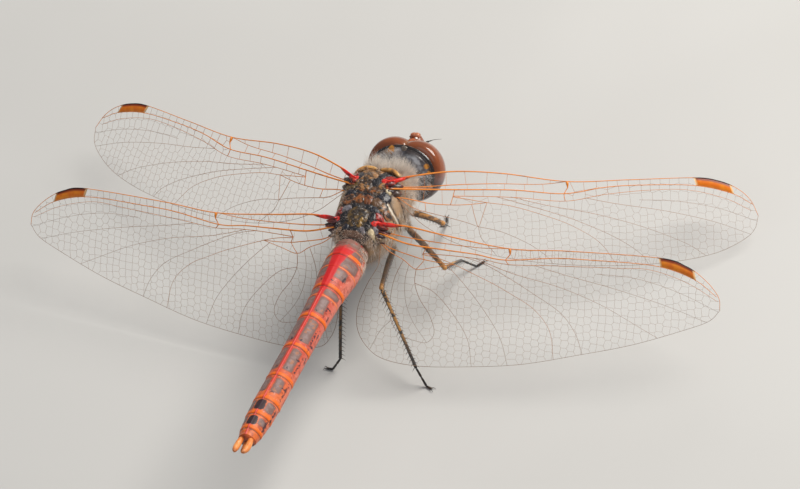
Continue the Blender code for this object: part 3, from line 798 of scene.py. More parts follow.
ABDOMEN_X, ABDOMEN_Z = 0.12, -2.15          # its middle line
ABDOMEN_FRONT, ABDOMEN_REAR = 3.9, 27.85
ABDOMEN_PINCH = 0.16                        # how much narrower its upper half gets towards the top
ABDOMEN_PROFILE = (                         # how far back, half width, half height
    (3.9, 1.52, 1.42), (4.9, 1.66, 1.56), (6.0, 1.74, 1.62), (7.0, 1.74, 1.62), (8.5, 1.56, 1.46),
    (10.0, 1.40, 1.29), (13.4, 1.28, 1.14), (17.1, 1.235, 1.08), (20.8, 1.22, 1.06), (23.7, 1.235, 1.07),
    (25.5, 1.16, 1.00), (27.15, 0.97, 0.87), (27.85, 0.80, 0.73),
)
RINGS = (4.45, 6.02, 9.75, 13.40, 17.10, 20.80, 23.70, 25.50, 27.15)
FINE_RINGS = (5.05, 7.48, 10.88)
# Grey patches on each side of the back: front, rear, inner and outer edge measured from the middle line.
GREY_PATCHES = (
    (4.85, 5.62, 0.62, 2.25), (6.22, 7.33, 0.30, 2.30), (7.62, 8.62, 0.30, 1.65), (10.05, 10.72, 0.27, 1.85),
    (11.02, 12.85, 0.24, 1.15), (13.72, 16.45, 0.24, 1.22), (17.45, 20.05, 0.24, 1.12),
    (21.15, 22.75, 0.24, 1.08), (23.95, 25.0, 0.62, 1.40), (25.8, 26.55, 0.62, 1.25),
)
# Black blots: place along the body, distance from the middle line, and half length and half width.
BLACK_BLOTS = (
    (9.05, 0.60, 0.08, 0.16), (8.35, 1.50, 0.22, 0.07), (12.70, 0.52, 0.10, 0.14), (12.25, 1.28, 0.34, 0.07),
    (11.85, 1.50, 0.08, 0.24), (12.70, 1.75, 0.30, 0.06), (16.35, 0.50, 0.12, 0.14), (15.6, 1.42, 0.70, 0.07),
    (16.2, 1.70, 0.10, 0.22), (14.9, 1.72, 0.50, 0.06), (19.75, 0.50, 0.12, 0.12), (19.2, 1.42, 0.75, 0.07),
    (18.4, 1.20, 0.10, 0.20), (22.80, 0.48, 0.10, 0.12), (22.3, 1.52, 0.95, 0.07), (21.9, 1.28, 0.09, 0.20),
    (24.9, 1.60, 0.70, 0.09), (26.3, 1.35, 0.60, 0.12), (20.3, 1.85, 0.30, 0.07), (17.9, 1.78, 0.30, 0.06),
)
BLACK_SADDLES = ((24.45, 0.60, 0.52), (26.30, 0.52, 0.50))      # place, half length and half width
# The red stripe along the middle: places along the body, and its half width at each.
STRIPE_PLACES = (4.0, 6.0, 7.6, 9.0, 10.5, 13.0, 27.0)
STRIPE_WIDTHS = (1.6, 0.85, 0.52, 0.46, 0.25, 0.15, 0.11)


def abdomen_size(y):
    """Half width and half height at a distance back."""
    along, wide, high = np.array(ABDOMEN_PROFILE).T
    return np.interp(y, along, wide), np.interp(y, along, high)


def abdomen_swell(y):
    """How far the skin stands out: a crest before each joint and a groove behind it."""
    swell = np.zeros(len(y))
    for ring in RINGS:
        swell += 0.025 * bump(y, ring - 0.13, 0.13) - 0.055 * bump(y, ring + 0.05, 0.07)
        swell -= 0.018 * bump(y, ring + 0.4, 0.35)
    for ring in FINE_RINGS:
        swell += 0.022 * bump(y, ring, 0.06) - 0.02 * bump(y, ring + 0.13, 0.06)
    return swell - 0.02


def add_abdomen(paint):
    """The ten segments as one skin, ridged along the top and folded in along the lower sides."""
    y = np.arange(ABDOMEN_FRONT, ABDOMEN_REAR + 0.01, 0.06)
    wide, high = (smoothed(value, 13) for value in abdomen_size(y))
    swell = abdomen_swell(y)
    columns = 128
    angle = turns(columns)
    lift, side, turn = np.cos(angle), np.sin(angle), from_top(angle)
    inset = 1 - 0.055 * bump(turn, math.radians(126), 0.10)
    level = np.where(lift > 0, lift, 0.92 * signed_power(lift, 0.8)) * inset
    ridge = 0.035 * bump(side, 0, 0.09) * (lift > 0)
    across = (wide + swell)[:, None] * side * (1 - ABDOMEN_PINCH * np.clip(lift, 0, 1)) * inset
    rise = (high + swell)[:, None] * level + ridge
    rows = np.repeat(y[:, None], columns, 1)
    points = np.stack([ABDOMEN_X + across, rows, ABDOMEN_Z + rise], 2).reshape(-1, 3)
    arc = (turn * (wide + high)[:, None] / 2).ravel()
    add_piece("abdomen_skin", points, skin_faces(len(y), columns), paint, slot="abdomen",
              replaces=["abdomen_%02d" % number for number in range(1, 11)],
              marks=abdomen_marks(points[:, 1], arc, np.tile(turn, len(y))))


def in_bands(y, places, half_width, shift=0.0):
    """How far each place lies within the nearest band round the body, below 0 outside."""
    return np.maximum(half_width - np.min([np.abs(y - place - shift) for place in places], 0), -1.0)


def abdomen_marks(y, arc, turn):
    """The pattern, with a painted highlight along the ridge and a painted sheen on the flanks, as distances
    in millimetres from the edge of each colour, above 0 within it. arc is the way round from the middle line
    of the back."""
    patch, black, saddle = (np.full(len(y), -1.0) for _ in range(3))
    for first, last, inner, outer in GREY_PATCHES:
        round_off = 0.10 * (bump(arc, inner, 0.15) + bump(arc, outer, 0.25))
        patch = np.maximum(patch, np.minimum.reduce([y - first - round_off, last - round_off - y,
                                                     arc - inner, outer - arc]))
    for place, out, half_length, half_width in BLACK_BLOTS:
        reach = np.hypot((y - place) / half_length, (arc - out) / half_width)
        black = np.maximum(black, (1 - reach) * min(half_length, half_width))
    squareness = 3.5
    for place, half_length, half_width in BLACK_SADDLES:
        reach = (np.abs(y - place) / half_length) ** squareness + (arc / half_width) ** squareness
        saddle = np.maximum(saddle, (1 - reach ** (1 / squareness)) * half_width)
    return {
        "patch": patch, "black": black, "saddle": saddle, "ring": in_bands(y, RINGS, 0.17, -0.15),
        "fine": in_bands(y, FINE_RINGS, 0.055), "groove": in_bands(y, RINGS, 0.05, 0.06),
        "band": np.interp(y, STRIPE_PLACES, STRIPE_WIDTHS) - arc,
        # line: a thin pale line on the ridge of the back, partly its own colour and partly a painted
        # highlight
        "line": 0.035 - arc + 0.02 * ease(y, 9.8, 12.0) - 0.2 * (1 - ease(y, 9.6, 10.2)),
        # side: the flanks, painted pinker, partly their own colour and partly a painted sheen
        "side": ease(arc, 1.1, 2.2), "tail": ease(y, 17.0, 24.0), "front": 1 - ease(y, 4.6, 5.4),
        "belly": ease(turn, math.radians(122), math.radians(132)),
    }


def abdomen_paint():
    paint = Paint("abdomen", (0.56, 0.075, 0.040), 0.48, Coat_Weight=0.10, Coat_Roughness=0.25,
                  Specular_IOR_Level=0.35)
    paint.mottle((0.66, 0.125, 0.060), 1.1, 0.42, 0.68, 0.7)
    paint.layer((0.72, 0.155, 0.028), paint.mark("tail"), 0.85)
    # Pinker flanks: partly their own colour, partly a painted sheen.
    paint.layer((0.68, 0.21, 0.155), paint.mark("side"), 0.8)
    paint.mottle((0.30, 0.045, 0.025), 2.2, 0.48, 0.68, 0.65)
    paint.mottle((0.70, 0.42, 0.36), 3.1, 0.56, 0.75, 0.4)
    paint.layer((0.30, 0.06, 0.035), paint.edge("patch", 0.06, 4.0, 0.06, -0.07), 0.75)
    paint.layer((0.19, 0.105, 0.090), paint.edge("patch", 0.12, 2.6, 0.05))
    inner = paint.edge("patch", 0.14, 3.0, 0.08, 0.14)
    paint.layer((0.25, 0.168, 0.158), paint.both(inner, paint.cloud(2.2, 3.0, 0.4, 0.62)), 0.8)
    paint.layer((0.42, 0.14, 0.05), paint.both(inner, paint.cloud(1.7, 2.0, 0.56, 0.64)), 0.6)
    paint.layer((0.86, 0.15, 0.006), paint.edge("ring", 0.16, 1.8, 0.06), 0.92)
    paint.layer((0.80, 0.20, 0.04), paint.edge("fine", 0.02, 5.0, 0.03), 0.9)
    paint.layer((0.60, 0.008, 0.012), paint.edge("band", 0.10, 3.0, 0.09), 0.93)
    paint.layer((0.10, 0.03, 0.02), paint.edge("groove", 0.03, 4.0, 0.03), 0.8)
    # A thin pale line on the ridge of the back: partly its own colour, partly a painted highlight.
    paint.layer((0.82, 0.20, 0.15), paint.edge("line", 0.03, 2.0, 0.025), 0.6)
    paint.layer((0.030, 0.018, 0.030), paint.edge("black", 0.24, 4.5, 0.05), 0.9)
    paint.layer((0.012, 0.012, 0.020), paint.edge("saddle", 0.16, 2.2, 0.05), 0.96)
    paint.layer((0.19, 0.13, 0.10), paint.both(paint.mark("front"), paint.cloud(3.5, 3.0, 0.2, 0.5)), 0.9)
    paint.layer((0.13, 0.10, 0.10), paint.mark("belly"), 0.85)
    paint.relief(paint.noise(7.0, 4.0), 0.05, 0.35)
    paint.relief(paint.cells(16.0), 0.02, 0.4)
    return paint.done()


CERCUS_LINE = (                             # behind the last ring, out from the middle, and up
    (-0.15, 0.38, 0.20), (0.45, 0.45, 0.19), (0.95, 0.47, 0.18), (1.4, 0.44, 0.25), (1.75, 0.34, 0.37),
    (1.85, 0.30, 0.40),
)
EPIPROCT_LINE = ((-0.1, 0.0, -0.42), (0.6, 0.0, -0.36), (1.15, 0.0, -0.24))


def add_tail_piece(name, controls, side, step, places, thick, sides, dark_from, under, paint):
    """A tapering tube behind the last ring, as thick as told at these shares of its length."""
    line = smooth_line([(ABDOMEN_X + side * out, ABDOMEN_REAR + along, ABDOMEN_Z + rise)
                        for along, out, rise in controls], step)
    share = np.linspace(0, 1, len(line))
    points, faces = tube(line, np.interp(share, places, thick), sides)
    marks = {"tip": np.repeat(ease(share, dark_from, 1.0), sides), "under": np.full(len(points), under)}
    add_piece(name + "_skin", points, faces, paint, replaces=[name], slot="cercus", marks=marks)


def add_tail_pieces(paint):
    """The two claspers above, and the wedge between them below."""
    for side, name in ((1, "cercus_left"), (-1, "cercus_right")):
        add_tail_piece(name, CERCUS_LINE, side, 0.05, (0, 0.12, 0.35, 0.65, 0.86, 0.95, 1),
                       (0.17, 0.22, 0.265, 0.27, 0.19, 0.12, 0.02), 20, 0.75, 0.0, paint)
    add_tail_piece("epiproct", EPIPROCT_LINE, 1, 0.06, (0, 0.5, 0.9, 1), (0.33, 0.31, 0.2, 0.03),
                   16, 0.5, 1.0, paint)


def tail_paint():
    paint = Paint("tail", (0.80, 0.23, 0.045), 0.45, Coat_Weight=0.1)
    paint.mottle((0.88, 0.36, 0.11), 2.4, 0.4, 0.65, 0.8)
    paint.mottle((0.55, 0.10, 0.04), 3.5, 0.55, 0.75, 0.5)
    paint.layer((0.20, 0.06, 0.03), paint.mark("under"), 0.5)
    paint.layer((0.12, 0.03, 0.015), paint.mark("tip"), 0.55)
    paint.relief(paint.noise(9.0, 3.0), 0.04, 0.5)
    return paint.done()


# ---- Thorax ----

THORAX_FRONT, THORAX_REAR = -6.05, 3.7
THORAX_Z = -2.4                             # the height of its middle line
THORAX_WAIST = 0.6                          # where it is widest, as a share of its height
BACK_FULLNESS, BELLY_FULLNESS = 3.2, 1.35   # powers of its rounded outline, 2 being an ellipse
THORAX_PROFILE = (                          # how far back, top, bottom, half width
    (-6.05, -1.95, -3.95, 1.05), (-5.6, -1.15, -4.85, 1.70), (-4.8, -0.28, -5.6, 2.32),
    (-3.8, 0.38, -6.1, 2.72), (-2.4, 0.74, -6.4, 2.88), (-0.8, 0.58, -6.3, 2.88), (0.8, 0.23, -5.8, 2.73),
    (2.1, -0.22, -5.1, 2.43), (3.1, -0.72, -4.42, 1.98), (3.7, -1.08, -3.85, 1.52),
)


def thorax_size(y):
    """Top, bottom and half width at a distance back."""
    along, *profile = np.array(THORAX_PROFILE).T
    fine = np.linspace(along[0], along[-1], 300)
    sizes = []
    for value in profile:
        level = smoothed(np.interp(fine, along, value), 31, mode="reflect", reflect_type="odd")
        sizes.append(np.interp(y, fine, level))
    return sizes


def thorax_point(y, turn):
    """Points of the trunk's skin at a distance back and a turn from the top, in radians."""
    top, bottom, half = thorax_size(y)
    middle = bottom + (top - bottom) * THORAX_WAIST
    side, lift = np.sin(turn), np.cos(turn)
    power = np.where(lift > 0, 2 / BACK_FULLNESS, 2 / BELLY_FULLNESS)
    reach = np.where(lift > 0, top - middle, middle - bottom)
    x = half * signed_power(side, power)
    z = middle + reach * signed_power(lift, power)
    return np.stack([x, np.broadcast_to(y, x.shape), z], -1)


def back_height(x, y):
    """The height of the trunk's skin over a place on the back."""
    top, bottom, half = thorax_size(y)
    middle = bottom + (top - bottom) * THORAX_WAIST
    share = np.clip(np.abs(x) / half, 0, 0.995)
    return middle + (top - middle) * (1 - share ** BACK_FULLNESS) ** (1 / BACK_FULLNESS)


def near_lines(points, lines):
    """Distance of each point from the nearest of some lines of points."""
    best = np.full(len(points), 9.0)
    for line in lines:
        for start, end in zip(np.array(line), np.array(line)[1:]):
            along = end - start
            share = np.clip((points - start) @ along / (along @ along), 0, 1)
            best = np.minimum(best, np.linalg.norm(points - start - share[:, None] * along, axis=1))
    return best


# Lines down the sides, in y and z: a pale stripe and the dark seams beside and before them.
PALE_STRIPES = (
    ((-0.35, 0.35), (0.05, 0.0), (0.30, -0.55), (0.28, -1.1), (0.0, -2.2), (-0.5, -3.4)),
)
SIDE_SEAMS = (
    ((-0.60, 0.30), (-0.22, -0.1), (0.02, -0.6), (0.0, -1.2), (-0.3, -2.3), (-0.8, -3.6), (-1.2, -5.2)),
    ((-0.10, 0.40), (0.32, 0.05), (0.58, -0.5), (0.56, -1.2), (0.3, -2.3), (-0.1, -3.5)),
    ((-2.6, 0.5), (-2.5, -0.8), (-2.75, -2.3), (-3.2, -4.2)),
    ((-1.4, 0.4), (-1.2, -1.0), (-1.35, -2.6)),
    ((1.7, -0.4), (1.75, -1.6), (1.3, -3.4), (0.7, -4.8)),
)


def add_thorax(paint):
    """The trunk as one skin, with sunken seams down its sides."""
    y = np.concatenate([np.arange(THORAX_FRONT, THORAX_REAR, 0.07), [THORAX_REAR]])
    columns = 180
    rows, angles = np.meshgrid(y, turns(columns, 0.5), indexing="ij")
    points = thorax_point(rows, angles).reshape(-1, 3)
    turn = from_top(angles).ravel()
    seam, pale = (near_lines(points[:, 1:], lines) for lines in (SIDE_SEAMS, PALE_STRIPES))
    on_side = ease(np.abs(points[:, 0]), 1.5, 2.0)
    outward = unit(points * (1, 0, 1) - (0, 0, THORAX_Z))
    depth = 0.10 * bump(seam, 0, 0.10) * on_side + 0.06 * on_side - 0.05 * rough_field(points, 0.9)
    points = points - outward * depth[:, None]
    highest = 0.74
    points[:, 2] = np.where(turn < 1.2, np.minimum(points[:, 2], highest), points[:, 2])
    off_side = 9 * (on_side - 1)
    marks = {
        "pale": 0.085 - pale + off_side, "seam": 0.06 - seam + off_side,
        "back": (1 - ease(turn, 0.60, 0.75)) * ease(points[:, 1], -4.0, -3.7),
        "front": 1 - ease(points[:, 1], -4.6, -3.6), "low": ease(turn, 1.4, 2.4),
    }
    add_piece("thorax_skin", points, skin_faces(len(y), columns), paint, slot="thorax",
              replaces=["thorax", "mesonotum", "metanotum"], marks=marks)


def thorax_paint():
    paint = Paint("thorax", (0.38, 0.245, 0.14), 0.55)
    paint.mottle((0.27, 0.20, 0.14), 0.8, 0.4, 0.65, 0.9)
    paint.mottle((0.48, 0.28, 0.14), 1.5, 0.5, 0.72, 0.6)
    paint.layer((0.36, 0.27, 0.19), paint.mark("front"), 0.6)
    paint.layer((0.07, 0.045, 0.035), paint.mark("low"), 0.2)
    paint.layer((0.014, 0.012, 0.016), paint.mark("back"), 0.92)
    paint.mottle((0.25, 0.14, 0.06), 1.9, 0.6, 0.72, 0.35)
    paint.layer((0.018, 0.014, 0.016), paint.edge("seam", 0.05, 3.0, 0.05), 0.9)
    paint.layer((0.66, 0.60, 0.50), paint.edge("pale", 0.05, 3.0, 0.04), 0.95)
    paint.relief(paint.noise(5.0, 4.0), 0.10, 0.5)
    paint.relief(paint.noise(22.0, 2.0), 0.02, 0.35)
    return paint.done()


# Plates of the back: place, half sizes along and across after turning, height, turn in degrees, colour.
PLATES = (
    (0.50, -2.75, 0.78, 1.00, 0.30, 8, "tan"), (-0.05, -3.40, 0.52, 0.36, 0.22, 0, "tan"),
    (1.00, -3.45, 0.60, 0.34, 0.22, 20, "tan"), (-0.72, -3.10, 0.52, 0.62, 0.22, -25, "black"),
    (-0.35, -2.05, 0.62, 0.66, 0.20, 0, "black"), (1.35, -2.80, 0.36, 0.62, 0.22, 30, "blue"),
    (2.00, -3.05, 0.40, 0.34, 0.18, 10, "darkred"), (-1.42, -2.82, 0.55, 0.34, 0.22, -10, "darkred"),
    (-1.32, -2.30, 0.60, 0.27, 0.26, 8, "red"), (1.85, -2.35, 0.56, 0.26, 0.26, -14, "red"),
    (0.45, -1.50, 0.72, 0.64, 0.25, 0, "tan"), (1.18, -1.86, 0.36, 0.17, 0.28, 35, "tan"),
    (1.75, -1.48, 0.66, 0.52, 0.32, 12, "olive"), (1.45, -0.62, 0.62, 0.36, 0.22, -20, "blue"),
    (0.90, -1.05, 0.42, 0.36, 0.18, 10, "black"), (-1.08, -1.62, 0.50, 0.42, 0.22, -20, "tan"),
    (-1.85, -1.80, 0.46, 0.34, 0.22, -15, "silver"), (-1.70, -1.20, 0.33, 0.27, 0.34, -10, "cream"),
    (-1.60, -0.50, 0.54, 0.52, 0.22, -30, "blue"), (-0.55, -1.18, 0.55, 0.36, 0.18, -18, "darktan"),
    (-0.05, -0.86, 1.15, 0.22, 0.24, -6, "orange"), (-0.92, -0.70, 0.40, 0.13, 0.25, 24, "tan"),
    (0.35, -0.52, 1.25, 0.14, 0.14, -4, "black"), (1.00, -0.92, 0.32, 0.14, 0.25, 35, "tan"),
    (1.45, 0.10, 0.66, 0.52, 0.24, 22, "orange"), (0.50, -0.02, 0.62, 0.50, 0.28, 0, "orange"),
    (-0.34, 0.02, 0.48, 0.50, 0.27, 0, "darkorange"), (-1.08, 0.14, 0.56, 0.46, 0.24, -14, "darktan"),
    (-1.78, 0.38, 0.46, 0.40, 0.20, -24, "tan"), (-2.24, 0.80, 0.28, 0.40, 0.20, 12, "orange"),
    (1.28, 1.02, 0.52, 0.27, 0.20, 24, "silver"), (0.55, 0.78, 0.50, 0.26, 0.18, 0, "black"),
    (-0.55, 0.76, 0.60, 0.28, 0.16, 0, "black"), (-1.30, 0.98, 0.56, 0.34, 0.22, -28, "blue"),
    (1.95, 1.30, 0.44, 0.40, 0.20, 0, "darkred"), (-1.68, 1.38, 0.46, 0.28, 0.24, -8, "darkred"),
    (0.12, 1.72, 1.00, 0.84, 0.42, 0, "olive"), (-0.32, 2.10, 0.26, 0.52, 0.44, -12, "yellow"),
    (-1.22, 1.75, 0.36, 0.70, 0.22, -12, "black"), (1.32, 1.85, 0.40, 0.56, 0.20, 14, "black"),
    (-1.78, 2.00, 0.58, 0.22, 0.30, 8, "red"), (2.05, 1.95, 0.52, 0.24, 0.28, -8, "red"),
    (-1.98, 2.45, 0.44, 0.30, 0.22, -10, "silver"), (1.85, 2.48, 0.44, 0.34, 0.22, 10, "blue"),
    (-0.66, 2.76, 0.38, 0.27, 0.22, -20, "silver"), (0.05, 2.78, 0.58, 0.30, 0.18, 0, "black"),
    (0.80, 2.74, 0.42, 0.30, 0.20, 20, "blue"), (-1.52, 2.86, 0.32, 0.27, 0.32, -30, "cream"),
    (1.42, 2.95, 0.32, 0.27, 0.24, 30, "tan"), (-1.02, 2.55, 0.30, 0.32, 0.18, 0, "black"),
    (0.02, 3.30, 1.00, 0.34, 0.18, 0, "brown"),
)
PLATE_COLOURS = {
    "tan": (0.34, 0.16, 0.055), "darktan": (0.12, 0.055, 0.022), "blue": (0.014, 0.015, 0.024),
    "red": (0.76, 0.022, 0.014), "darkred": (0.34, 0.022, 0.015), "cream": (0.62, 0.50, 0.30),
    "silver": (0.19, 0.17, 0.19), "olive": (0.12, 0.07, 0.022), "orange": (0.26, 0.085, 0.02),
    "darkorange": (0.20, 0.06, 0.018), "yellow": (0.32, 0.18, 0.045), "brown": (0.13, 0.07, 0.045),
}


PLATE_FULLNESS = 2.4                        # power of a plate's rounded outline
BACK_REACH = 0.985                          # how far the plates go round the side, as a share of its width
CREASE_DEPTH = 0.05


def plate_heights(x, y):
    """The height of every plate over each place, below 0 beyond its rim."""
    heights = []
    for px, py, along, across, height, turn, _ in PLATES:
        turn = math.radians(turn)
        u = ((x - px) * math.cos(turn) + (y - py) * math.sin(turn)) / along
        v = ((y - py) * math.cos(turn) - (x - px) * math.sin(turn)) / across
        reach = (np.abs(u) ** PLATE_FULLNESS + np.abs(v) ** PLATE_FULLNESS) ** (1 / PLATE_FULLNESS)
        dome_height = height * np.sqrt(np.clip(1 - reach ** 2.2, 0, 1)) * 0.60
        heights.append(dome_height - CREASE_DEPTH * np.clip(reach - 1, 0, 1))
    return np.array(heights)


def add_back(paint):
    """The plates between the wings as one surface: low domes that meet in creases, with painted shade in the
    creases.
    """
    y, x = np.meshgrid(np.arange(-3.95, 3.62, 0.045), np.arange(-2.75, 2.751, 0.045), indexing="ij")
    shape = x.shape
    x, y = x.ravel(), y.ravel()
    flat = np.column_stack([x, y, np.zeros(len(x))])
    warped_x = x + 0.16 * rough_field(flat, 1.7, 3.0) + 0.07 * rough_field(flat, 4.5, 5.0)
    warped_y = y + 0.16 * rough_field(flat, 1.7, 9.0) + 0.07 * rough_field(flat, 4.5, 7.0)
    heights = plate_heights(warped_x, warped_y)
    order = np.sort(heights, 0)
    best, level = heights.argmax(0), order[-1]
    crease = bump(order[-1] - order[-2], 0, 0.018) * CREASE_DEPTH + CREASE_DEPTH * (level <= 0)
    level = np.clip(level, -CREASE_DEPTH, 1) - crease
    level = level + 0.02 * rough_field(flat, 6.0) + 0.04 * rough_field(flat, 2.6)
    half = thorax_size(y)[2]
    edge = ease(np.abs(x) / half, BACK_REACH, 0.93) * ease(np.abs(y + 0.17), 3.78, 3.6)
    z = back_height(np.clip(x, -half * BACK_REACH, half * BACK_REACH), y) - CREASE_DEPTH
    z = z + (level + CREASE_DEPTH) * edge - 0.25 * (1 - edge)
    z = z - 0.3 * ease(np.abs(x), 1.85, 2.2) * (level < 0.0)
    # The crease mark is where plates meet, for painted shade in the creases.
    marks = {"crease": np.clip(crease / CREASE_DEPTH, 0, 1)}
    for key in PLATE_COLOURS:
        numbers = [number for number, plate in enumerate(PLATES) if plate[-1] == key]
        marks[key] = np.isin(best, numbers) * (level > -0.04)
    wide = np.abs(x) < half * BACK_REACH
    faces = [face[::-1] for face in grid_faces(*shape, wrap=False) if wide[list(face)].all()]
    add_piece("back_plates", np.column_stack([x, y, z]), faces, paint, slot="thorax", marks=marks)


def back_paint():
    paint = Paint("back_plates", (0.010, 0.009, 0.012), 0.30, Coat_Weight=0.3, Coat_Roughness=0.16)
    for key, colour in PLATE_COLOURS.items():
        paint.layer(colour, paint.mark(key))
    tan = paint.math("ADD", paint.math("ADD", paint.mark("tan"), paint.mark("olive")), paint.mark("orange"))
    paint.layer((0.025, 0.016, 0.012), paint.both(tan, paint.cloud(2.1, 5.0, 0.47, 0.54)), 0.92)
    paint.layer((0.46, 0.27, 0.12), paint.both(tan, paint.cloud(3.1, 4.0, 0.58, 0.68)), 0.45)
    paint.mottle((0.012, 0.010, 0.012), 2.9, 0.54, 0.62, 0.7, 5.0)
    # Painted highlights: small pale flecks over the plates stand for glints.
    paint.mottle((0.60, 0.58, 0.62), 4.6, 0.66, 0.72, 0.4)
    # Painted shade in the creases between the plates.
    paint.layer((0.008, 0.006, 0.007), paint.mark("crease"), 0.75)
    paint.relief(paint.noise(5.0, 4.0), 0.09, 0.7)
    paint.relief(paint.noise(20.0, 2.0), 0.02, 0.5)
    return paint.done()


CRESTS = {                                  # lines of the two crescents, from the middle outwards
    "left": ((0.35, -4.02, 0.42), (0.95, -4.12, 0.50), (1.70, -3.98, 0.42), (2.35, -3.52, 0.18)),
    "right": ((0.10, -4.02, 0.42), (-0.55, -4.02, 0.50), (-1.25, -3.82, 0.44), (-1.95, -3.38, 0.20)),
}


def add_crests(paint):
    """The two raised crescents in front of the wings."""
    sides = 18
    for name, controls in CRESTS.items():
        line = smooth_line(controls, 0.07)
        share = np.linspace(0, 1, len(line))
        line[:, 2] = back_height(line[:, 0], line[:, 1]) + 0.12 + 0.10 * np.sin(share * np.pi)
        points, faces = tube(line, 0.08 + 0.13 * np.sin(share * np.pi) ** 0.7, sides)
        add_piece("crest_" + name, points, faces, paint, slot="thorax",
                  marks={"share": np.repeat(share, sides)})


def crest_paint():
    paint = Paint("crest", (0.54, 0.26, 0.07), 0.3, Coat_Weight=0.4)
    paint.mottle((0.76, 0.44, 0.14), 1.4, 0.45, 0.62, 0.7)
    paint.mottle((0.14, 0.06, 0.025), 2.0, 0.50, 0.64, 0.8)
    paint.layer((0.09, 0.05, 0.03), paint.mark_span("share", 0.86, 1.0), 0.8)
    paint.layer((0.16, 0.09, 0.05), paint.mark_span("share", 0.10, 0.0), 0.7)
    paint.relief(paint.noise(7.0, 3.0), 0.05, 0.5)
    return paint.done()


NECK_RINGS = (                              # how far back, top, bottom, half width
    (-7.05, -2.32, -3.18, 0.56), (-6.9, -2.15, -3.4, 0.70), (-6.6, -2.0, -3.62, 0.82),
    (-6.3, -1.92, -3.80, 0.86), (-6.0, -1.95, -3.86, 0.84), (-5.8, -2.02, -3.88, 0.80),
)


def add_neck(paint):
    """The collar between trunk and head."""
    sides = 40
    rows = []
    for y, top, bottom, half in NECK_RINGS:
        middle, reach = (top + bottom) / 2, (top - bottom) / 2
        turn = turns(sides)
        rows.append(np.column_stack([half * np.sin(turn), np.full(sides, y), middle + reach * np.cos(turn)]))
    faces = grid_faces(len(NECK_RINGS), sides) + [tuple(range(sides))[::-1]]
    add_piece("neck_skin", np.vstack(rows), faces, paint, replaces=["prothorax"], slot="thorax")


def neck_paint():
    paint = Paint("neck", (0.13, 0.09, 0.06), 0.6)
    paint.mottle((0.34, 0.24, 0.16), 2.0, 0.4, 0.65, 0.7)
    paint.relief(paint.noise(6.0, 3.0), 0.05, 0.5)
    return paint.done()


# ---- Head ----
# In the head's own frame, with its face towards -Y.

EYE_MIDDLE = (1.05, 0.15, -0.60)
EYE_HALF_SIZE = (2.50, 2.04, 2.66)
EYE_REAR = 0.95


def soft_limit(value, softness):
    """The value where it is above 0, and 0 below, with a rounded corner."""
    return softness * np.logaddexp(0, value / softness)


def add_eye(name, side, paint):
    """A tall dome, rounded above and tapering below, flat at the back and where it meets its twin."""
    rows, columns = 110, 150
    rise = np.repeat(np.linspace(-np.pi / 2, np.pi / 2, rows)[:, None], columns, 1)
    turn = np.repeat(turns(columns)[None], rows, 0)
    z = np.sin(rise)
    taper = np.where(z > 0, 1.0, 1 - 0.15 * z * z)
    x = EYE_MIDDLE[0] + EYE_HALF_SIZE[0] * taper * np.cos(rise) * np.sin(turn)
    y = EYE_MIDDLE[1] - EYE_HALF_SIZE[1] * taper * np.cos(rise) * np.cos(turn)
    z = EYE_MIDDLE[2] + EYE_HALF_SIZE[2] * z
    marks = {"over": y - EYE_REAR, "seam": x, "low": ease(-z, -0.1, 1.5)}
    y = EYE_REAR - soft_limit(EYE_REAR - y, 0.24)
    x = soft_limit(x - 0.01, 0.08)
    marks["rear"] = ease(y, 0.1, 0.95)
    # under: painted shade, darkening the lower part of the eye towards its back
    marks["under"] = ease(-z, 0.7, 1.7) * ease(y, -0.5, 0.5)
    faces = grid_faces(rows, columns)
    if side > 0:
        faces = [face[::-1] for face in faces]
    add_piece(name + "_dome", np.stack([x * side, y, z], 2).reshape(-1, 3), faces, paint, HEAD,
              replaces=[name], slot="eye", marks={key: value.ravel() for key, value in marks.items()})


def eye_paint():
    paint = Paint("eye", (0.27, 0.068, 0.020), 0.25, Coat_Weight=0.85, Coat_Roughness=0.04, Coat_IOR=1.5,
                  Specular_IOR_Level=0.15)
    paint.mottle((0.20, 0.060, 0.026), 0.7, 0.4, 0.65, 0.8)
    paint.mottle((0.33, 0.10, 0.035), 1.6, 0.5, 0.75, 0.5)
    paint.layer((0.235, 0.195, 0.21), paint.mark("low"), 0.85)
    blotch = paint.rest(paint.span(paint.cells(1.15), 0.22, 0.34))
    paint.layer((0.05, 0.035, 0.05), paint.both(blotch, paint.mark("low")), 0.85)
    paint.layer((0.17, 0.052, 0.026), paint.mark("rear"), 0.35)
    # Painted shade: the lower rear of the eye is darkened nearly to black.
    paint.layer((0.040, 0.018, 0.022), paint.mark("under"), 0.85)
    paint.layer((0.24, 0.10, 0.045), paint.mark_span("seam", 0.42, 0.05), 0.8)
    paint.layer((0.012, 0.008, 0.008), paint.mark_span("over", 1.35, 1.60))
    paint.relief(paint.cells(26.0), 0.008, 0.12)
    return paint.done()


HEAD_BACK_HALF_SIZE = (3.03, 2.42)
HEAD_BACK_LIFT = -0.75
# How far the head's back stands out behind the eyes, at shares of the way from its middle to its rim.
HEAD_BACK_SHARES = (0, 0.25, 0.45, 0.62, 0.78, 0.88, 0.95, 1.0)
HEAD_BACK_DEPTHS = (0.30, 0.42, 0.50, 0.44, 0.31, 0.18, 0.07, -0.08)
# Spots of the head's back: place outwards from the middle and up, and radius.
AMBER_SPOTS = ((1.12, 1.12, 0.31), (2.26, 0.20, 0.21), (2.52, -0.30, 0.14), (2.64, -1.50, 0.21))


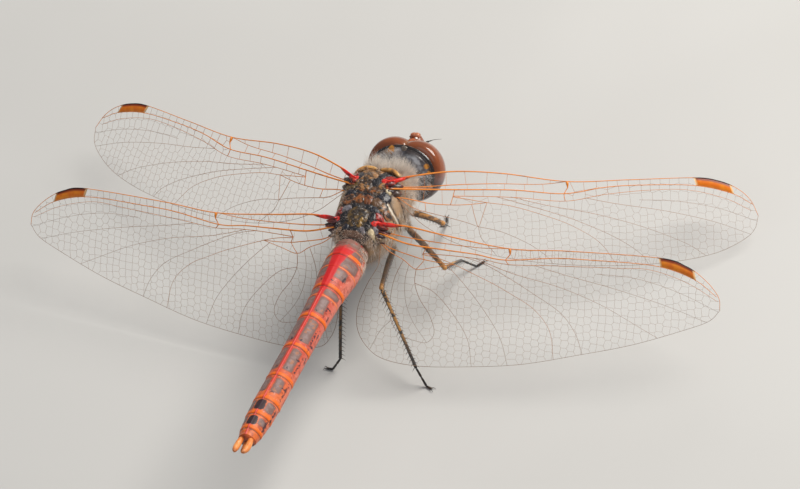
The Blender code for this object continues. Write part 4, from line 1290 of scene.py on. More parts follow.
def add_head_back(paint):
    """The back of the head: two glossy lobes behind the eyes, with a furrow between them."""
    rows, columns = 90, 160
    share = np.repeat(np.linspace(0.02, 1.0, rows)[:, None], columns, 1)
    turn = np.repeat(turns(columns)[None], rows, 0)
    power = 2 / 2.2
    x = HEAD_BACK_HALF_SIZE[0] * share * signed_power(np.sin(turn), power)
    z = HEAD_BACK_LIFT + HEAD_BACK_HALF_SIZE[1] * share * signed_power(np.cos(turn), power)
    depth = np.interp(share, HEAD_BACK_SHARES, HEAD_BACK_DEPTHS)
    depth = depth - 0.16 * bump(x, 0, 0.22) * (share < 0.99)
    depth = depth + 0.05 * bump(np.abs(x), 1.3, 0.5) * bump(z, 0.6, 0.6) - 0.05 * bump(share, 0.85, 0.03)
    points = np.stack([x, EYE_REAR + depth, z], 2).reshape(-1, 3)
    points[:, 1] += 0.02 * rough_field(points, 2.5)
    x, z, share = x.ravel(), z.ravel(), share.ravel()
    amber = np.full(len(points), -1.0)
    for across, up, radius in AMBER_SPOTS:
        gap = np.hypot(np.abs(x) - across, (z - up) * 0.9)
        fainter = 0.6 * bump(x, -across, 0.6) * (up > 1)     # the upper spot, on the right
        amber = np.maximum(amber, radius - gap - fainter)
    marks = {
        "rim": (share - 0.90) * 2.5, "line": (share - 0.985) * 2.5, "amber": amber,
        "outer": ease(share, 0.66, 0.86) * ease(-x, -0.2, 0.6),
        "tan": bump(np.abs(x), 1.3, 0.8) * bump(z, 0.95, 0.35) * (x > 0),
        "dark": bump(x, -0.55, 0.5) * bump(z, 1.15, 0.35), "low": ease(-z, 0.4, 1.8),
    }
    faces = grid_faces(rows, columns) + [tuple(range(columns))[::-1]]
    add_piece("head_back", points, faces, paint, HEAD, replaces=["head"], slot="head", marks=marks)


def head_back_paint():
    paint = Paint("head_back", (0.115, 0.11, 0.125), 0.24, Coat_Weight=0.6, Coat_Roughness=0.12)
    paint.mottle((0.46, 0.47, 0.51), 1.2, 0.42, 0.62, 0.8)
    paint.mottle((0.05, 0.045, 0.055), 1.8, 0.5, 0.64, 0.7)
    paint.layer((0.34, 0.22, 0.13), paint.mark("tan"), 0.9)
    paint.layer((0.014, 0.011, 0.012), paint.mark("dark"), 0.9)
    paint.layer((0.09, 0.07, 0.06), paint.mark("low"), 0.5)
    paint.layer((0.035, 0.022, 0.018), paint.mark("outer"), 0.8)
    paint.layer((0.012, 0.008, 0.008), paint.edge("rim", 0.03, 2.0, 0.05), 0.97)
    paint.layer((0.24, 0.15, 0.11), paint.edge("line", 0.01, 2.0, 0.015), 0.8)
    paint.layer((0.50, 0.20, 0.025), paint.edge("amber", 0.06, 3.0, 0.06), 0.92)
    paint.relief(paint.noise(7.0, 4.0), 0.05, 0.6)
    return paint.done()


FACE_STATIONS = (                           # height, half width, front and back, from the top down
    (2.02, 0.34, -1.92, -1.40), (1.80, 0.52, -2.12, -1.2), (1.4, 0.80, -2.38, -0.8), (0.8, 1.18, -2.72, 0.3),
    (0.2, 1.28, -2.72, 0.8), (-0.4, 1.28, -2.52, 0.82), (-0.9, 1.40, -2.57, 0.82), (-1.5, 1.44, -2.47, 0.82),
    (-2.0, 1.36, -2.17, 0.82),
)
FACE_FULLNESS = 2.5                         # power of its rounded outline, 2 being an ellipse
MOUTH_STATIONS = (
    (-2.02, 1.33, -2.12, 0.80), (-2.15, 1.36, -2.14, 0.68), (-2.5, 1.34, -1.98, 0.6),
    (-2.9, 1.16, -1.68, 0.4), (-3.17, 0.78, -1.23, 0.1),
)


def level_rings(stations, columns):
    """Rings of points of a part of the face, from its lowest station up, and how many rings."""
    table = np.array(stations)[::-1]
    z = np.arange(table[0, 0], table[-1, 0] + 1e-6, 0.05)
    half, front, back = (smoothed(np.interp(z, table[:, 0], table[:, key]), 9) for key in (1, 2, 3))
    turn, power = turns(columns, 0.5), 2 / FACE_FULLNESS
    x = half[:, None] * signed_power(np.sin(turn), power)
    y = ((front + back) / 2)[:, None] + ((back - front) / 2)[:, None] * signed_power(np.cos(turn), power)
    return np.stack([x, y, np.repeat(z[:, None], columns, 1)], 2).reshape(-1, 3), len(z)


def seam_groove(seam, front):
    """How far a seam's groove goes in, where the skin faces front."""
    return np.clip(seam + 0.05, 0, 0.1) / 0.1 * front


def add_face(paint):
    """Forehead, nose plate and lip, with the seams between them, and the jaws below."""
    columns = 96
    points, rows = level_rings(FACE_STATIONS, columns)
    out, height = np.abs(points[:, 0]), points[:, 2]
    seam = in_bands(height - 0.10 * out ** 2, (0.62, -0.25, -1.25), 0.05)
    front = ease(-points[:, 1], 1.6, 2.2)
    puff = 0.12 * bump(height, 0.18, 0.42) + 0.10 * bump(height, -0.75, 0.35)
    points[:, 1] += (0.12 - puff) * front + 0.06 * seam_groove(seam, front)
    points[:, 1] += 0.10 * bump(out, 0, 0.12) * bump(height, 1.3, 0.5) * front
    marks = {"seam": seam - 9 * (1 - front), "top": ease(height, 1.35, 1.7), "low": ease(-height, 0.9, 1.5)}
    add_piece("face_skin", points, skin_faces(rows, columns), paint, HEAD, replaces=["face"], slot="face",
              marks=marks)

    points, rows = level_rings(MOUTH_STATIONS, columns)
    out, height = np.abs(points[:, 0]), points[:, 2]
    split_top = -2.35
    split = 0.045 - out * (height < split_top) - (height >= split_top)
    lip = 0.05 - np.abs(height + 2.38 - 0.12 * out)
    seam = np.maximum(split, lip)
    points[:, 1] += 0.08 * seam_groove(seam, ease(-points[:, 1], 0.8, 1.5))
    add_piece("mouth_skin", points, skin_faces(rows, columns), paint, HEAD, replaces=["mouthparts"],
              slot="face", marks={"seam": seam, "top": 0 * seam, "low": 1 + 0 * seam})


def face_paint():
    paint = Paint("face", (0.42, 0.115, 0.05), 0.38, Coat_Weight=0.2)
    paint.mottle((0.56, 0.26, 0.13), 1.3, 0.42, 0.66, 0.8)
    paint.layer((0.50, 0.34, 0.19), paint.mark("low"), 0.75)
    paint.layer((0.20, 0.055, 0.028), paint.mark("top"), 0.8)
    paint.layer((0.03, 0.015, 0.012), paint.edge("seam", 0.015, 4.0, 0.03), 0.85)
    paint.mottle((0.20, 0.06, 0.03), 3.4, 0.58, 0.75, 0.5)
    paint.relief(paint.noise(8.0, 4.0), 0.04, 0.5)
    return paint.done()


CROWN_KNOBS = (                             # middle and half sizes
    ((0.12, -1.36, 2.02), (0.34, 0.30, 0.31)), ((-0.09, -1.40, 2.05), (0.32, 0.30, 0.30)),
    ((0.04, -1.05, 1.64), (0.42, 0.50, 0.24)), ((0.0, -1.70, 1.86), (0.38, 0.40, 0.26)),
)
SMALL_EYES = (                              # middle, half sizes, and how pale; a pale one is a painted highlight
    ((-0.20, -1.05, 1.90), (0.15, 0.14, 0.12), 1.0), ((0.46, -1.30, 1.90), (0.10, 0.11, 0.09), 0.0),
    ((0.0, -2.10, 2.00), (0.15, 0.11, 0.13), 0.0),
)
FEELER_LINE = ((0.70, -2.20, 1.42), (0.82, -2.45, 1.47), (1.10, -3.00, 1.56), (1.45, -3.72, 1.52))


def add_crown(paints):
    """The knob between the eyes with its small eyes beside it, and the wedge behind where the eyes meet."""
    shape = Shape("top")
    for middle, size in CROWN_KNOBS:
        points, faces = dome(middle, size)
        points = points + 0.05 * rough_field(points, 2.2)[:, None]
        shape.add(points, faces, top=ease(points[:, 2], 1.9, 2.35))
    shape.piece("crown", paints["crown"], matrix=HEAD, slot="face")
    shape = Shape("top")
    for middle, size, pale in SMALL_EYES:
        shape.add(*dome(middle, size, 16, 24), top=pale)
    shape.piece("small_eyes", paints["bead"], matrix=HEAD, slot="eye")
    points, faces = dome((0.0, 0.95, 1.36), (0.34, 0.20, 0.27))
    add_piece("occiput", points, faces, paints["occiput"], HEAD, slot="head",
              marks={"top": ease(points[:, 2], 1.1, 1.5)})


def add_antennae(paint):
    """Short feelers: two thick joints and a fine bristle."""
    sides = 12
    for side, name in ((1, "antenna_left"), (-1, "antenna_right")):
        line = smooth_line([(side * out, y, z) for out, y, z in FEELER_LINE], 0.05)
        share = np.linspace(0, 1, len(line))
        radii = np.interp(share, (0, 0.12, 0.18, 0.3, 0.34, 1), (0.09, 0.085, 0.05, 0.055, 0.026, 0.010))
        points, faces = tube(line, radii, sides)
        add_piece(name + "_bristle", points, faces, paint, HEAD, replaces=[name], slot="head")


def crown_paints():
    crown = Paint("crown", (0.44, 0.125, 0.05), 0.35, Coat_Weight=0.3)
    crown.mottle((0.22, 0.055, 0.025), 2.2, 0.45, 0.65, 0.8)
    crown.layer((0.50, 0.20, 0.10), crown.mark("top"), 0.5)
    crown.relief(crown.noise(8.0, 4.0), 0.05, 0.6)
    bead = Paint("small_eye", (0.30, 0.13, 0.06), 0.08, Coat_Weight=1.0)
    bead.mottle((0.45, 0.24, 0.12), 2.0, 0.45, 0.6, 0.6)
    # Painted highlight: a small eye with top set is painted near white to stand for a glint.
    bead.layer((0.80, 0.74, 0.68), bead.mark("top"), 0.9)
    occiput = Paint("occiput", (0.17, 0.125, 0.095), 0.35, Coat_Weight=0.3)
    occiput.mottle((0.34, 0.28, 0.24), 3.0, 0.45, 0.65, 0.8)
    occiput.layer((0.04, 0.03, 0.02), occiput.mark("top"), 0.6)
    occiput.relief(occiput.noise(9.0, 3.0), 0.05, 0.6)
    bristle = Paint("bristle", (0.020, 0.014, 0.012), 0.35)
    bristle.mottle((0.11, 0.06, 0.035), 3.0, 0.45, 0.7, 0.7)
    return {"crown": crown.done(), "bead": bead.done(), "occiput": occiput.done(), "bristle": bristle.done()}


# ---- Legs ----

LEGS = {                                     # hip, knee and ankle in the body frame, and the tip of the foot
    "fore_right": ((-0.90, -5.80, -4.9), (-4.20, -5.30, -6.00), (-3.20, -7.90, -8.50), (-2.56, -9.57)),
    "mid_right": ((-0.90, -4.80, -5.9), (-6.40, 0.20, -6.00), (-6.10, -3.80, -8.60), (-7.40, -5.40)),
    "hind_right": ((-0.60, -1.90, -6.0), (-2.25, 4.31, -5.44), (-6.00, 8.00, -10.60), (-7.30, 8.45)),
    "fore_left": ((0.90, -6.00, -4.9), (3.60, -5.00, -5.60), (3.00, -7.80, -8.50), (2.40, -9.30)),
    "mid_left": ((0.90, -4.80, -5.9), (3.60, 1.60, -5.30), (4.60, -1.80, -8.90), (5.40, -3.40)),
    "hind_left": ((0.60, -1.90, -6.0), (0.80, 5.80, -5.00), (1.00, 7.90, -10.90), (2.45, 7.90)),
}
# How much ochre each leg shows: partly its own colour, partly painted shade, lower on the left legs, away
# from the key lamp.
OCHRE_AND_SHADE_LEGS = {"fore_right": 1.0, "mid_right": 0.92, "hind_right": 0.85, "fore_left": 0.8, "mid_left": 0.6,
              "hind_left": 0.25}
COXA, FEMUR, KNEE, TIBIA, TARSUS = 0, 1, 1.5, 2, 3
# Radii along the sections of a leg, at shares of each one's length.
COXA_SHARES, COXA_RADII = (0, 0.5, 0.85, 1), (0.55, 0.50, 0.36, 0.2)
LEG_SHARES = (0, 0.06, 0.25, 0.7, 0.9, 0.97, 1)
FEMUR_RADII = (0.19, 0.28, 0.29, 0.23, 0.20, 0.22, 0.19)
TIBIA_RADII = (0.16, 0.19, 0.155, 0.145, 0.14, 0.145, 0.12)
TARSUS_RADII = (0.075, 0.095, 0.10, 0.10, 0.105, 0.11, 0.075)
FOOT_RADIUS = 0.11


def floor_height(y, clearance):
    """Body-frame Z at a given Y of a point this far above the floor."""
    return (clearance - BODY_PLACE[2] - y * math.sin(BODY_TILT)) / math.cos(BODY_TILT)


def leg_joints(name):
    """The leg's root in the trunk, its hip, the start of its thigh, its knee and its ankle."""
    hip, knee, ankle = (np.array(spot, float) for spot in LEGS[name][:3])
    root = np.array((hip[0] * 0.9, hip[1] + 0.3, hip[2] + 1.0))
    joint = np.array((hip[0] + math.copysign(0.25, hip[0]), hip[1] + 0.15, hip[2] - 0.65))
    return root, hip, joint, knee, ankle


def limb(shape, line, radii, part, ochre, sides=16):
    """One section of a leg; the stripe lies along its upper outer side."""
    points, faces = tube(line, radii, sides)
    share = np.repeat(np.linspace(0, 1, len(line)), sides)
    stripe = np.tile(np.sin(turns(sides, 0.5)), len(line)) * 0.17 - 0.03
    # The thigh's stripe is narrower on legs with less ochre, partly painted shade on the left legs.
    stripe = stripe - 0.35 * (1 - ochre) * (part == FEMUR) - 0.07 * (part == TIBIA)
    shape.add(points, faces, part=part, share=share, stripe=stripe, ochre=ochre)


def add_bristle(shape, line, radii, sides, share=1.0):
    """A dark spine, claw or stiff hair."""
    points, faces = tube(line, radii, sides)
    shape.add(points, faces, part=TARSUS, share=share, stripe=-0.2)


def add_spines(shape, start, end, radius, count, length, skew, side):
    """Two rows of stiff bristles along a section of a leg."""
    ahead = (end - start) / np.linalg.norm(end - start)
    across = unit(np.cross(ahead, (0, 0, 1.0)))
    under = np.cross(across, ahead)
    for row, lean in enumerate((side, -side)):
        out = unit(across * lean * 0.8 - under * skew)
        for step in range(count):
            share = (step + 0.5 + 0.3 * row) / count
            root = start + (end - start) * share + out * radius * 0.6
            reach = length * (1 - 0.35 * share) * random.uniform(0.85, 1.1)
            tip = root + out * reach * 0.82 + ahead * reach * 0.58
            middle = (root + tip) / 2 - ahead * reach * 0.06
            add_bristle(shape, [root, middle, tip], (0.032, 0.022, 0.005), 5, share)


def add_leg(name, paint):
    """One leg from the trunk to its claws."""
    root, hip, joint, knee, ankle = leg_joints(name)
    side, ochre = math.copysign(1, hip[0]), OCHRE_AND_SHADE_LEGS[name]
    shape = Shape("part", "share", "stripe", "ochre")
    line = smooth_line([root, hip, (hip + joint) / 2, joint + (joint - hip) * 0.12], 0.08)
    limb(shape, line, np.interp(np.linspace(0, 1, len(line)), COXA_SHARES, COXA_RADII), COXA, ochre)
    for part, start, end, rise, thick in ((FEMUR, joint, knee, 0.12, FEMUR_RADII),
                                          (TIBIA, knee, ankle, 0.05, TIBIA_RADII)):
        bow = np.array((0, 0, rise))
        line = smooth_line([start, start + (end - start) * 0.35 + bow, start + (end - start) * 0.7 + bow,
                            end], 0.1)
        limb(shape, line, np.interp(np.linspace(0, 1, len(line)), LEG_SHARES, thick), part, ochre)
    points, faces = dome(knee, (0.22, 0.22, 0.22), 12, 16)
    shape.add(points, faces, part=KNEE, share=1.0, stripe=0.1, ochre=ochre)
    add_spines(shape, joint, knee, 0.26, 11, 0.24, 0.9, side)
    add_spines(shape, knee, ankle, 0.15, int(np.linalg.norm(ankle - knee) / 0.36), 0.62, 0.55, side)
    add_foot(shape, ankle, LEGS[name][3])
    nodes = [part + name for part in ("coxa_", "femur_", "tibia_", "tarsus_")]
    shape.piece("leg_" + name, paint, replaces=nodes, slot="leg")


def add_foot(shape, ankle, tip):
    """Three joints along the floor, a pair of hooked claws, and stiff hairs under the sole."""
    toe = np.array((*tip, floor_height(tip[1], FOOT_RADIUS)))
    heel = ankle + (toe - ankle) * 0.62
    heel[2] = floor_height(heel[1], FOOT_RADIUS)
    spots = [ankle, ankle + (heel - ankle) * 0.5, heel, (heel + toe) / 2, toe]
    for start, end in zip(spots, spots[1:]):
        limb(shape, np.linspace(start, end, len(TARSUS_RADII)), TARSUS_RADII, TARSUS, 0.0, 10)
    ahead = (toe - heel) / np.linalg.norm(toe - heel)
    across = np.cross(ahead, (0, 0, 1.0))
    for out in (across, -across):
        line = smooth_line([toe - ahead * 0.05, toe + ahead * 0.10 + out * 0.12 + (0, 0, 0.06),
                            toe + ahead * 0.26 + out * 0.20,
                            toe + ahead * 0.30 + out * 0.20 - (0, 0, 0.085)], 0.03)
        add_bristle(shape, line, np.linspace(0.045, 0.008, len(line)), 6)
    for share in np.linspace(0.15, 0.9, 6):
        for out in (across, -across):
            root = heel + (toe - heel) * share
            end = root + ahead * 0.12 + out * 0.16
            end[2] = root[2] - 0.06
            add_bristle(shape, [root, (root + end) / 2, end], (0.02, 0.015, 0.004), 4)


def leg_paint():
    paint = Paint("leg", (0.014, 0.010, 0.009), 0.34, Coat_Weight=0.25)
    paint.mottle((0.05, 0.03, 0.018), 2.6, 0.5, 0.75, 0.7)
    hip = paint.mark_span("part", 0.35, 0.15)
    # The ochre mark scales each leg's stripe, tan and orange: partly the leg's own colour, partly painted
    # shade darkening the left legs.
    stripe = paint.both(paint.edge("stripe", 0.05, 2.4, 0.05), paint.mark("ochre"))
    not_foot = paint.mark_span("part", 2.6, 2.4)
    shin_end = paint.both(paint.mark_span("part", 1.7, 1.9), paint.mark_span("share", 0.45, 0.85))
    shown = paint.both(paint.both(stripe, not_foot), paint.rest(shin_end))
    shin = paint.mark_span("part", 1.4, 1.6)
    thigh = paint.both(shown, paint.rest(shin))
    tan = paint.both(thigh, paint.mark_span("ochre", 0.84, 0.92, 0.1, 1.0))
    paint.layer((0.25, 0.145, 0.08), tan, 0.9)
    bright = paint.math("MAXIMUM", paint.mark_span("share", 0.78, 0.97), paint.mark_span("ochre", 0.95, 0.99))
    paint.layer((0.50, 0.22, 0.045), paint.both(thigh, bright), 0.9)
    paint.layer((0.06, 0.035, 0.02), paint.both(thigh, paint.cloud(2.2, 5.0, 0.46, 0.58)), 0.85)
    speckle = paint.cloud(2.4, 3.0, 0.40, 0.50)
    paint.layer((0.60, 0.28, 0.045), paint.both(paint.both(shown, shin), speckle), 0.95)
    paint.mottle((0.30, 0.09, 0.02), 1.8, 0.6, 0.75, 0.2)
    paint.layer((0.16, 0.10, 0.065), hip, 0.85)
    knee = paint.both(paint.mark_span("part", 1.3, 1.45), paint.mark_span("part", 1.7, 1.55))
    paint.layer((0.55, 0.24, 0.04), paint.both(knee, paint.mark_span("ochre", 0.2, 0.85)), 0.9)
    paint.mottle((0.10, 0.05, 0.02), 2.6, 0.55, 0.68, 0.5)
    paint.relief(paint.noise(12.0, 3.0), 0.03, 0.5)
    return paint.done()


# ---- Hairs ----

HAIR_STEPS = (0.0, 0.38, 0.72, 1.0)         # shares of a hair's length, and its width at each
HAIR_TAPER = (1.0, 0.85, 0.55, 0.06)
HAIR_SIDES = 3
HAIR_PATCH = 0.003                          # size of a hair's own patch of the map
HAIR_ROOT = 0.06                            # how deep in the skin a hair starts
TUFT = 9                                    # hairs to a tuft


def add_hairs(name, roots, out, lean, lengths, width, tone, place, paint, slot, matrix=BODY, droop=0.25,
              spread=0.15):
    """Fine tapering hairs. out is the skin's normal at each root, lean the way the hairs lie, and place
    each root's spot on the skin's unwrap, where its own small patch of the map goes."""
    count = len(roots)
    chance = np.random.default_rng(len(name) * 31 + count)
    lean = lean + chance.normal(0, spread, (count, 3))
    aim = unit(out * 0.55 + lean)
    lengths = lengths * chance.uniform(0.45, 1.15, count)
    gather = gathered(roots, roots + aim * lengths[:, None])
    across = unit(np.cross(aim, out + chance.normal(0, 0.2, (count, 3))))
    up = np.cross(across, aim)
    rings = []
    for step, taper in zip(HAIR_STEPS, HAIR_TAPER):
        middle = roots + aim * (lengths * step)[:, None] + lean * (lengths * droop * step * step)[:, None]
        middle = middle + gather * step ** 1.5 - out * (HAIR_ROOT * (1 - step))
        for turn in turns(HAIR_SIDES):
            rings.append(middle + (across * math.cos(turn) + up * math.sin(turn)) * (width * taper))
    per_hair = len(rings)
    pattern = np.array(grid_faces(len(HAIR_STEPS), HAIR_SIDES))
    faces = (pattern[None] + (np.arange(count) * per_hair)[:, None, None]).reshape(-1, 4)
    patch = np.array([(step - 0.5, corner / 2 - 0.5) for step in HAIR_STEPS for corner in range(HAIR_SIDES)])
    uv = (place[:, None] + HAIR_PATCH * patch[None]).reshape(-1, 2)
    marks = {"tone": np.repeat(np.broadcast_to(tone, count), per_hair),
             "tip": np.tile(np.repeat(HAIR_STEPS, HAIR_SIDES), count),
             "chance": np.repeat(chance.uniform(0, 1, count), per_hair)}
    add_piece(name, np.stack(rings, 1).reshape(-1, 3), faces.tolist(), paint, matrix, slot=slot, marks=marks,
              uv=uv)


def gathered(roots, tips):
    """How far each hair's tip is drawn over to that of the tuft it belongs to."""
    leaders = np.arange(0, len(roots), TUFT)
    nearest = []
    for part in np.array_split(roots, max(1, len(roots) // 400)):
        nearest.append(leaders[((part[:, None] - roots[leaders][None]) ** 2).sum(2).argmin(1)])
    return (tips[np.concatenate(nearest)] - tips) * 0.40


def hair_paint(name, pale, dark):
    """Hairs darker at the root and paler at the tip, each with its own tone."""
    paint = Paint(name, pale, 0.5)
    paint.layer(dark, paint.mark("tone"))
    paint.layer(tuple(value * 0.40 for value in pale), paint.mark("chance"), 0.6)
    paint.layer(dark, paint.mark_span("tip", 0.5, 0.0), 0.55)
    paint.layer(tuple(min(1, value * 1.25) for value in pale), paint.mark("tip"), 0.25)
    return paint.done()


def spots(*values):
    """Points from their coordinates, each of which is a list or one number for all."""
    return np.column_stack(np.broadcast_arrays(*values))


def either_side(chance, least, most, count):
    """Turns from the top to the left or the right."""
    return chance.uniform(least, most, count) * np.where(chance.uniform(size=count) < 0.5, 1, -1)


def trunk_roots(count, chance, back, turn):
    """Places spread over part of the trunk, with the skin's normal and spot on the unwrap for each."""
    y = chance.uniform(*back, count)
    angle = either_side(chance, *turn, count)
    roots = thorax_point(y, angle)
    ahead = thorax_point(y + 0.03, angle) - roots
    around = thorax_point(y, angle + 0.03) - roots
    out = unit(np.cross(around, ahead))
    out *= np.sign(((roots - spots(0, y, THORAX_Z)) * out).sum(1))[:, None]
    along = (y - THORAX_FRONT) / (THORAX_REAR - THORAX_FRONT)
    return roots - out * 0.10, out, y, angle, spots(0.5 + 0.45 * angle / math.pi, 0.05 + 0.9 * along)


def add_trunk_hairs(paint):
    """A ruff behind the head, fur on sides and shoulders, a fringe behind, and down on the back."""
    chance = np.random.default_rng(11)
    roots, out, y, angle, place = trunk_roots(3000, chance, (-6.0, -4.25), (0.0, 1.5))
    lean = spots(roots[:, 0] * 0.16, -0.75, 0.62 - 0.35 * np.abs(angle))
    lengths = np.maximum(1.60 - 0.50 * np.abs(angle) - 0.80 * ease(angle, 0.45, 0.85), 0.25)
    tone = 0.04 + 0.52 * ease(-angle, 0.25, 0.95) + 0.14 * ease(y, -4.8, -4.2)
    add_hairs("hair_collar", roots, out, lean, lengths, 0.012, tone, place, paint, "thorax", droop=0.12,
              spread=0.26)

    roots, out, y, angle, place = trunk_roots(3000, chance, (-5.8, 3.6), (1.25, 2.8))
    front = bump(y, -4.6, 1.3)
    lean = spots(roots[:, 0] * 0.03, 0.75 - 0.50 * front, -0.50 + 0.25 * front)
    lengths = 0.40 + 0.25 * ease(np.abs(angle), 1.9, 2.6) + 0.55 * front
    tone = 0.38 + 0.14 * ease(y, -3.0, 3.0) + 0.1 * np.sin(y * 2.3)
    add_hairs("hair_sides", roots, out * 0.8, lean, lengths, 0.011, tone, place, paint, "thorax")

    roots, out, y, angle, place = trunk_roots(2200, chance, (-4.5, -1.2), (0.62, 1.45))
    lean = spots(roots[:, 0] * 0.05, -0.35, 0.10)
    lengths = 0.62 - 0.22 * ease(y, -4.4, -2.5)
    tone = 0.44 + 0.1 * ease(y, -4.0, -1.5)
    add_hairs("hair_shoulders", roots, out, lean, lengths, 0.010, tone, place, paint, "thorax", spread=0.25)

    roots, out, y, angle, place = trunk_roots(800, chance, (2.6, 3.68), (0.0, 1.35))
    lean = spots(roots[:, 0] * 0.10, 0.95, 0.02)
    tone = 0.72 + 0.2 * np.cos(angle)
    add_hairs("hair_waist", roots, out, lean, 0.52, 0.011, tone, place, paint, "thorax")

    roots, out, y, angle, place = trunk_roots(620, chance, (-4.1, 3.2), (0.0, 0.95))
    raised = out * (0.25 - 0.27 * ease(np.abs(angle), 0.45, 0.85))[:, None]
    tone = 0.55 + 0.3 * np.sin(y * 5)
    add_hairs("hair_back", roots + raised, out, (0, 0.35, 0.35), 0.34, 0.009, tone, place, paint, "thorax")


def abdomen_hairs(name, count, back, turn, crowding, length, width, tone, chance, paint):
    """Hairs that lie back along part of the abdomen, closer together in front if crowding is over 1."""
    y = chance.uniform(0, 1, count) ** crowding * (back[1] - back[0]) + back[0]
    angle = either_side(chance, *turn, count)
    angle = np.where(y < 4.6, angle * 0.75, angle)
    wide, high = abdomen_size(y)
    out = spots(np.sin(angle), 0, np.cos(angle))
    pinch = 1 - ABDOMEN_PINCH * np.clip(np.cos(angle), 0, 1)
    roots = spots(ABDOMEN_X + wide * np.sin(angle) * pinch, y, ABDOMEN_Z + high * np.cos(angle)) - out * 0.05
    place = spots(0.5 + 0.45 * angle / math.pi, 0.03 + 0.94 * (y - ABDOMEN_FRONT) / 24)
    add_hairs(name, roots, out, (0, 1.0, -0.1), length, width, tone, place, paint, "abdomen")


def add_abdomen_hairs(paint):
    """Brown fur on the first rings and a sparse short down behind."""
    chance = np.random.default_rng(12)
    abdomen_hairs("hair_abdomen_base", 1300, (3.95, 6.0), (1.15, 2.3), 1.4, 0.42, 0.011, 0.45, chance, paint)
    abdomen_hairs("hair_abdomen", 1800, (6.2, 27.6), (0.3, 2.3), 1.0, 0.16, 0.008, 0.9, chance, paint)


def add_head_back_hairs(chance, paint):
    """Grey hairs that fan out over the back of the head."""
    count = 2300
    angle = chance.uniform(-math.pi, math.pi, count)
    share = np.sqrt(chance.uniform(0.16, 0.74, count))
    keep = (np.cos(angle) < 0.15) | (share < 0.50) | ((angle > 0.2) & (share < 0.72))
    angle, share = angle[keep], share[keep]
    x = HEAD_BACK_HALF_SIZE[0] * share * np.sin(angle)
    z = HEAD_BACK_LIFT + HEAD_BACK_HALF_SIZE[1] * share * np.cos(angle)
    depth = np.interp(share, (0, 0.25, 0.45, 0.62, 0.78, 0.88), (0.30, 0.42, 0.50, 0.44, 0.31, 0.20))
    lean = spots(np.sin(angle) * 0.9, 0.25, np.cos(angle) * 0.9)
    place = spots(0.5 + 0.15 * x, 0.5 + 0.15 * (z - HEAD_BACK_LIFT))
    lengths, tone = 0.66 + 0.15 * np.cos(angle * 3), 0.15 + 0.35 * ease(share, 0.5, 0.85)
    add_hairs("hair_head", spots(x, EYE_REAR + depth - 0.03, z), np.tile((0.0, 1.0, 0.0), (len(x), 1)), lean,
              lengths, 0.012, tone, place, paint, "head", HEAD, droop=0.3)


def add_face_hairs(chance, paint):
    """A short down on the face."""
    count = 900
    x, z = chance.uniform(-1.1, 1.1, count), chance.uniform(-1.9, 1.7, count)
    table = np.array(FACE_STATIONS)[::-1]
    half, front = (np.interp(z, table[:, 0], table[:, key]) for key in (1, 2))
    share = np.clip(np.abs(x) / half, 0, 0.97)
    y = front + 0.10 + (1 - (1 - share ** FACE_FULLNESS) ** (1 / FACE_FULLNESS)) * 1.4
    place = spots(0.5 + 0.3 * x, 0.5 + 0.2 * z)
    add_hairs("hair_face", spots(x, y, z), unit(spots(x * 0.5, -1.0, 0)), (0.0, -0.3, -0.25), 0.24, 0.009,
              0.85, place, paint, "face", HEAD)


def add_head_hairs(paint):
    chance = np.random.default_rng(13)
    add_head_back_hairs(chance, paint)
    add_face_hairs(chance, paint)


# Fur on the sections of a leg: radius, number of hairs, length, tone, and where its map starts.
LEG_FUR = ((0.46, 220, 0.42, 0.35, 0.0), (0.27, 260, 0.26, 0.5, 0.33), (0.14, 160, 0.16, 0.5, 0.66))


def add_leg_hairs(paint):
    """Tan fur on the hips and thighs, finer down to the ankle."""
    chance = np.random.default_rng(14)
    parts = {key: [] for key in ("roots", "out", "lean", "lengths", "tone", "place")}
    for number, name in enumerate(LEGS):
        root, _, joint, knee, ankle = leg_joints(name)
        for (low, high), fur in zip(((root, joint), (joint, knee), (knee, ankle)), LEG_FUR):
            radius, count, length, tone, start = fur
            ahead = (high - low) / np.linalg.norm(high - low)
            across = unit(np.cross(ahead, (0.1, 0.2, 1.0)))
            up = np.cross(across, ahead)
            share = chance.uniform(0.04, 0.96, count)
            turn = chance.uniform(0, 2 * math.pi, count)
            out = across * np.cos(turn)[:, None] + up * np.sin(turn)[:, None]
            bow = spots(0, 0, 0.1 * np.sin(share * math.pi)) * (low is not root)
            parts["roots"].append(low + (high - low) * share[:, None] + bow + out * radius * 0.85)
            parts["out"].append(out)
            parts["lean"].append(np.tile(ahead, (count, 1)))
            parts["lengths"].append(length * (1 - 0.3 * share))
            parts["tone"].append(np.full(count, tone))
            parts["place"].append(spots(0.02 + (number + turn / 6.3) * 0.16, 0.02 + start + share * 0.3))
    roots, out, lean, lengths, tone, place = (np.concatenate(values) for values in parts.values())
    add_hairs("hair_legs", roots, out, lean, lengths, 0.012, tone, place, paint, "leg")


# ---- The whole animal ----

wing_paint = wing_paints()
for wing in WING_POSE:
    add_wing(wing, wing_paint)
add_abdomen(abdomen_paint())
add_tail_pieces(tail_paint())
add_thorax(thorax_paint())
add_back(back_paint())
add_crests(crest_paint())
add_neck(neck_paint())
dome_paint = eye_paint()
add_eye("eye_left", 1, dome_paint)
add_eye("eye_right", -1, dome_paint)
add_head_back(head_back_paint())
add_face(face_paint())
crown_set = crown_paints()
add_crown(crown_set)
add_antennae(crown_set["bristle"])
skin_of_legs = leg_paint()
for leg in LEGS:
    add_leg(leg, skin_of_legs)
trunk_hair = hair_paint("hair", (1.0, 0.90, 0.79), (0.47, 0.25, 0.125))
add_trunk_hairs(trunk_hair)
add_abdomen_hairs(trunk_hair)
add_head_hairs(hair_paint("hair_head", (0.95, 0.93, 0.95), (0.20, 0.17, 0.15)))
add_leg_hairs(hair_paint("hair_leg", (0.62, 0.46, 0.30), (0.10, 0.06, 0.04)))


# ---- Floor, light and camera ----

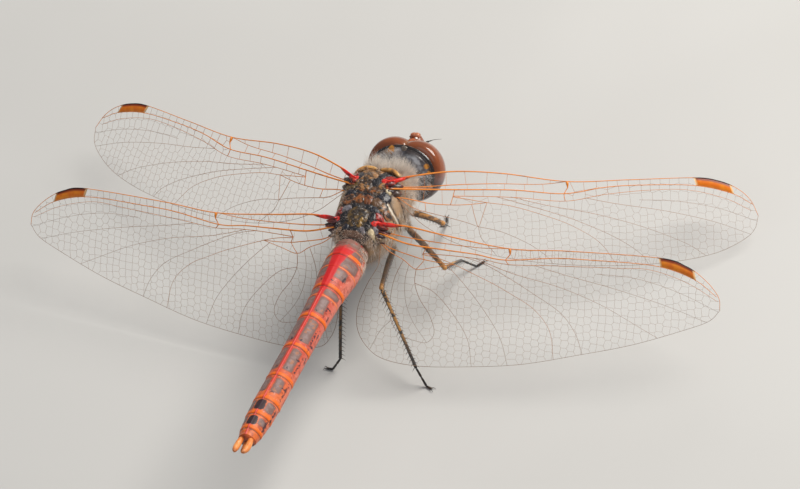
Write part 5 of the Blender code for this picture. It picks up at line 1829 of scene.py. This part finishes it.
def add_stage():
    """A plain pale floor, under soft light."""
    half = 900.0
    mesh = bpy.data.meshes.new("floor")
    corners = [(-half, -half, 0), (half, -half, 0), (half, half, 0), (-half, half, 0)]
    mesh.from_pydata([(x * MM, y * MM, z * MM) for x, y, z in corners], [], [(0, 1, 2, 3)])
    floor = add_object("floor", mesh)
    paint = Paint("floor", (0.62, 0.61, 0.59), 0.9)
    paint.mottle((0.56, 0.55, 0.53), 0.02, 0.4, 0.6, 0.4)
    mesh.materials.append(paint.done())


def add_lamp(name, azimuth, elevation, distance, size, power, colour):
    """A round lamp that shines on the animal from these angles in degrees."""
    azimuth, elevation = math.radians(azimuth), math.radians(elevation)
    back = Vector((math.sin(azimuth) * math.cos(elevation), -math.cos(azimuth) * math.cos(elevation),
                   math.sin(elevation)))
    light = bpy.data.lights.new(name, "AREA")
    light.shape = "DISK"
    light.size = size * MM
    light.energy = power
    light.color = colour
    lamp = add_object(name, light)
    lamp.location = back * distance * MM
    lamp.rotation_mode = "QUATERNION"
    lamp.rotation_quaternion = back.to_track_quat("Z", "Y")


def add_lights():
    """A dim sky, a broad warm lamp from the animal's front right, and a faint cool one from behind."""
    world = bpy.data.worlds.new("sky")
    world.use_nodes = True
    sky = world.node_tree.nodes["Background"]
    sky.inputs["Color"].default_value = (0.93, 0.96, 1.0, 1.0)
    sky.inputs["Strength"].default_value = 0.26
    bpy.context.scene.world = world
    add_lamp("key", 315, 47, 420, 260, 2.1, (1.0, 0.97, 0.92))
    add_lamp("fill", 170, 55, 420, 240, 0.12, (0.93, 0.96, 1.0))


# The camera's axes, right, up and back, in the body frame's terms of right, forward and up.
CAMERA_AXES = ((0.9268, 0.3481, -0.1412), (-0.1243, 0.6389, 0.7592), (0.3545, -0.6861, 0.6354))
CAMERA_DISTANCE = 450.0
CAMERA_OFFSET = (2.92, -3.50)               # the view's middle from the wing bases, right and up
SENSOR, LENS = 36.0, 239.8


def add_camera():
    """A long lens, aimed a little to the right of the wing bases and below them."""
    across, rise, back = [(BODY.to_3x3() @ Vector((-right, -forward, up))).normalized()
                          for right, forward, up in CAMERA_AXES]
    middle = BODY.translation + across * CAMERA_OFFSET[0] + rise * CAMERA_OFFSET[1]
    data = bpy.data.cameras.new("camera")
    data.sensor_width, data.lens = SENSOR, LENS
    data.clip_start, data.clip_end = 0.02, 10.0
    camera = add_object("camera", data)
    turn = Matrix((across, rise, back)).transposed().to_4x4()
    camera.matrix_world = Matrix.Translation((middle + back * CAMERA_DISTANCE) * MM) @ turn
    bpy.context.scene.camera = camera
    bpy.context.scene.view_settings.view_transform = "Standard"


add_stage()
add_lights()
add_camera()
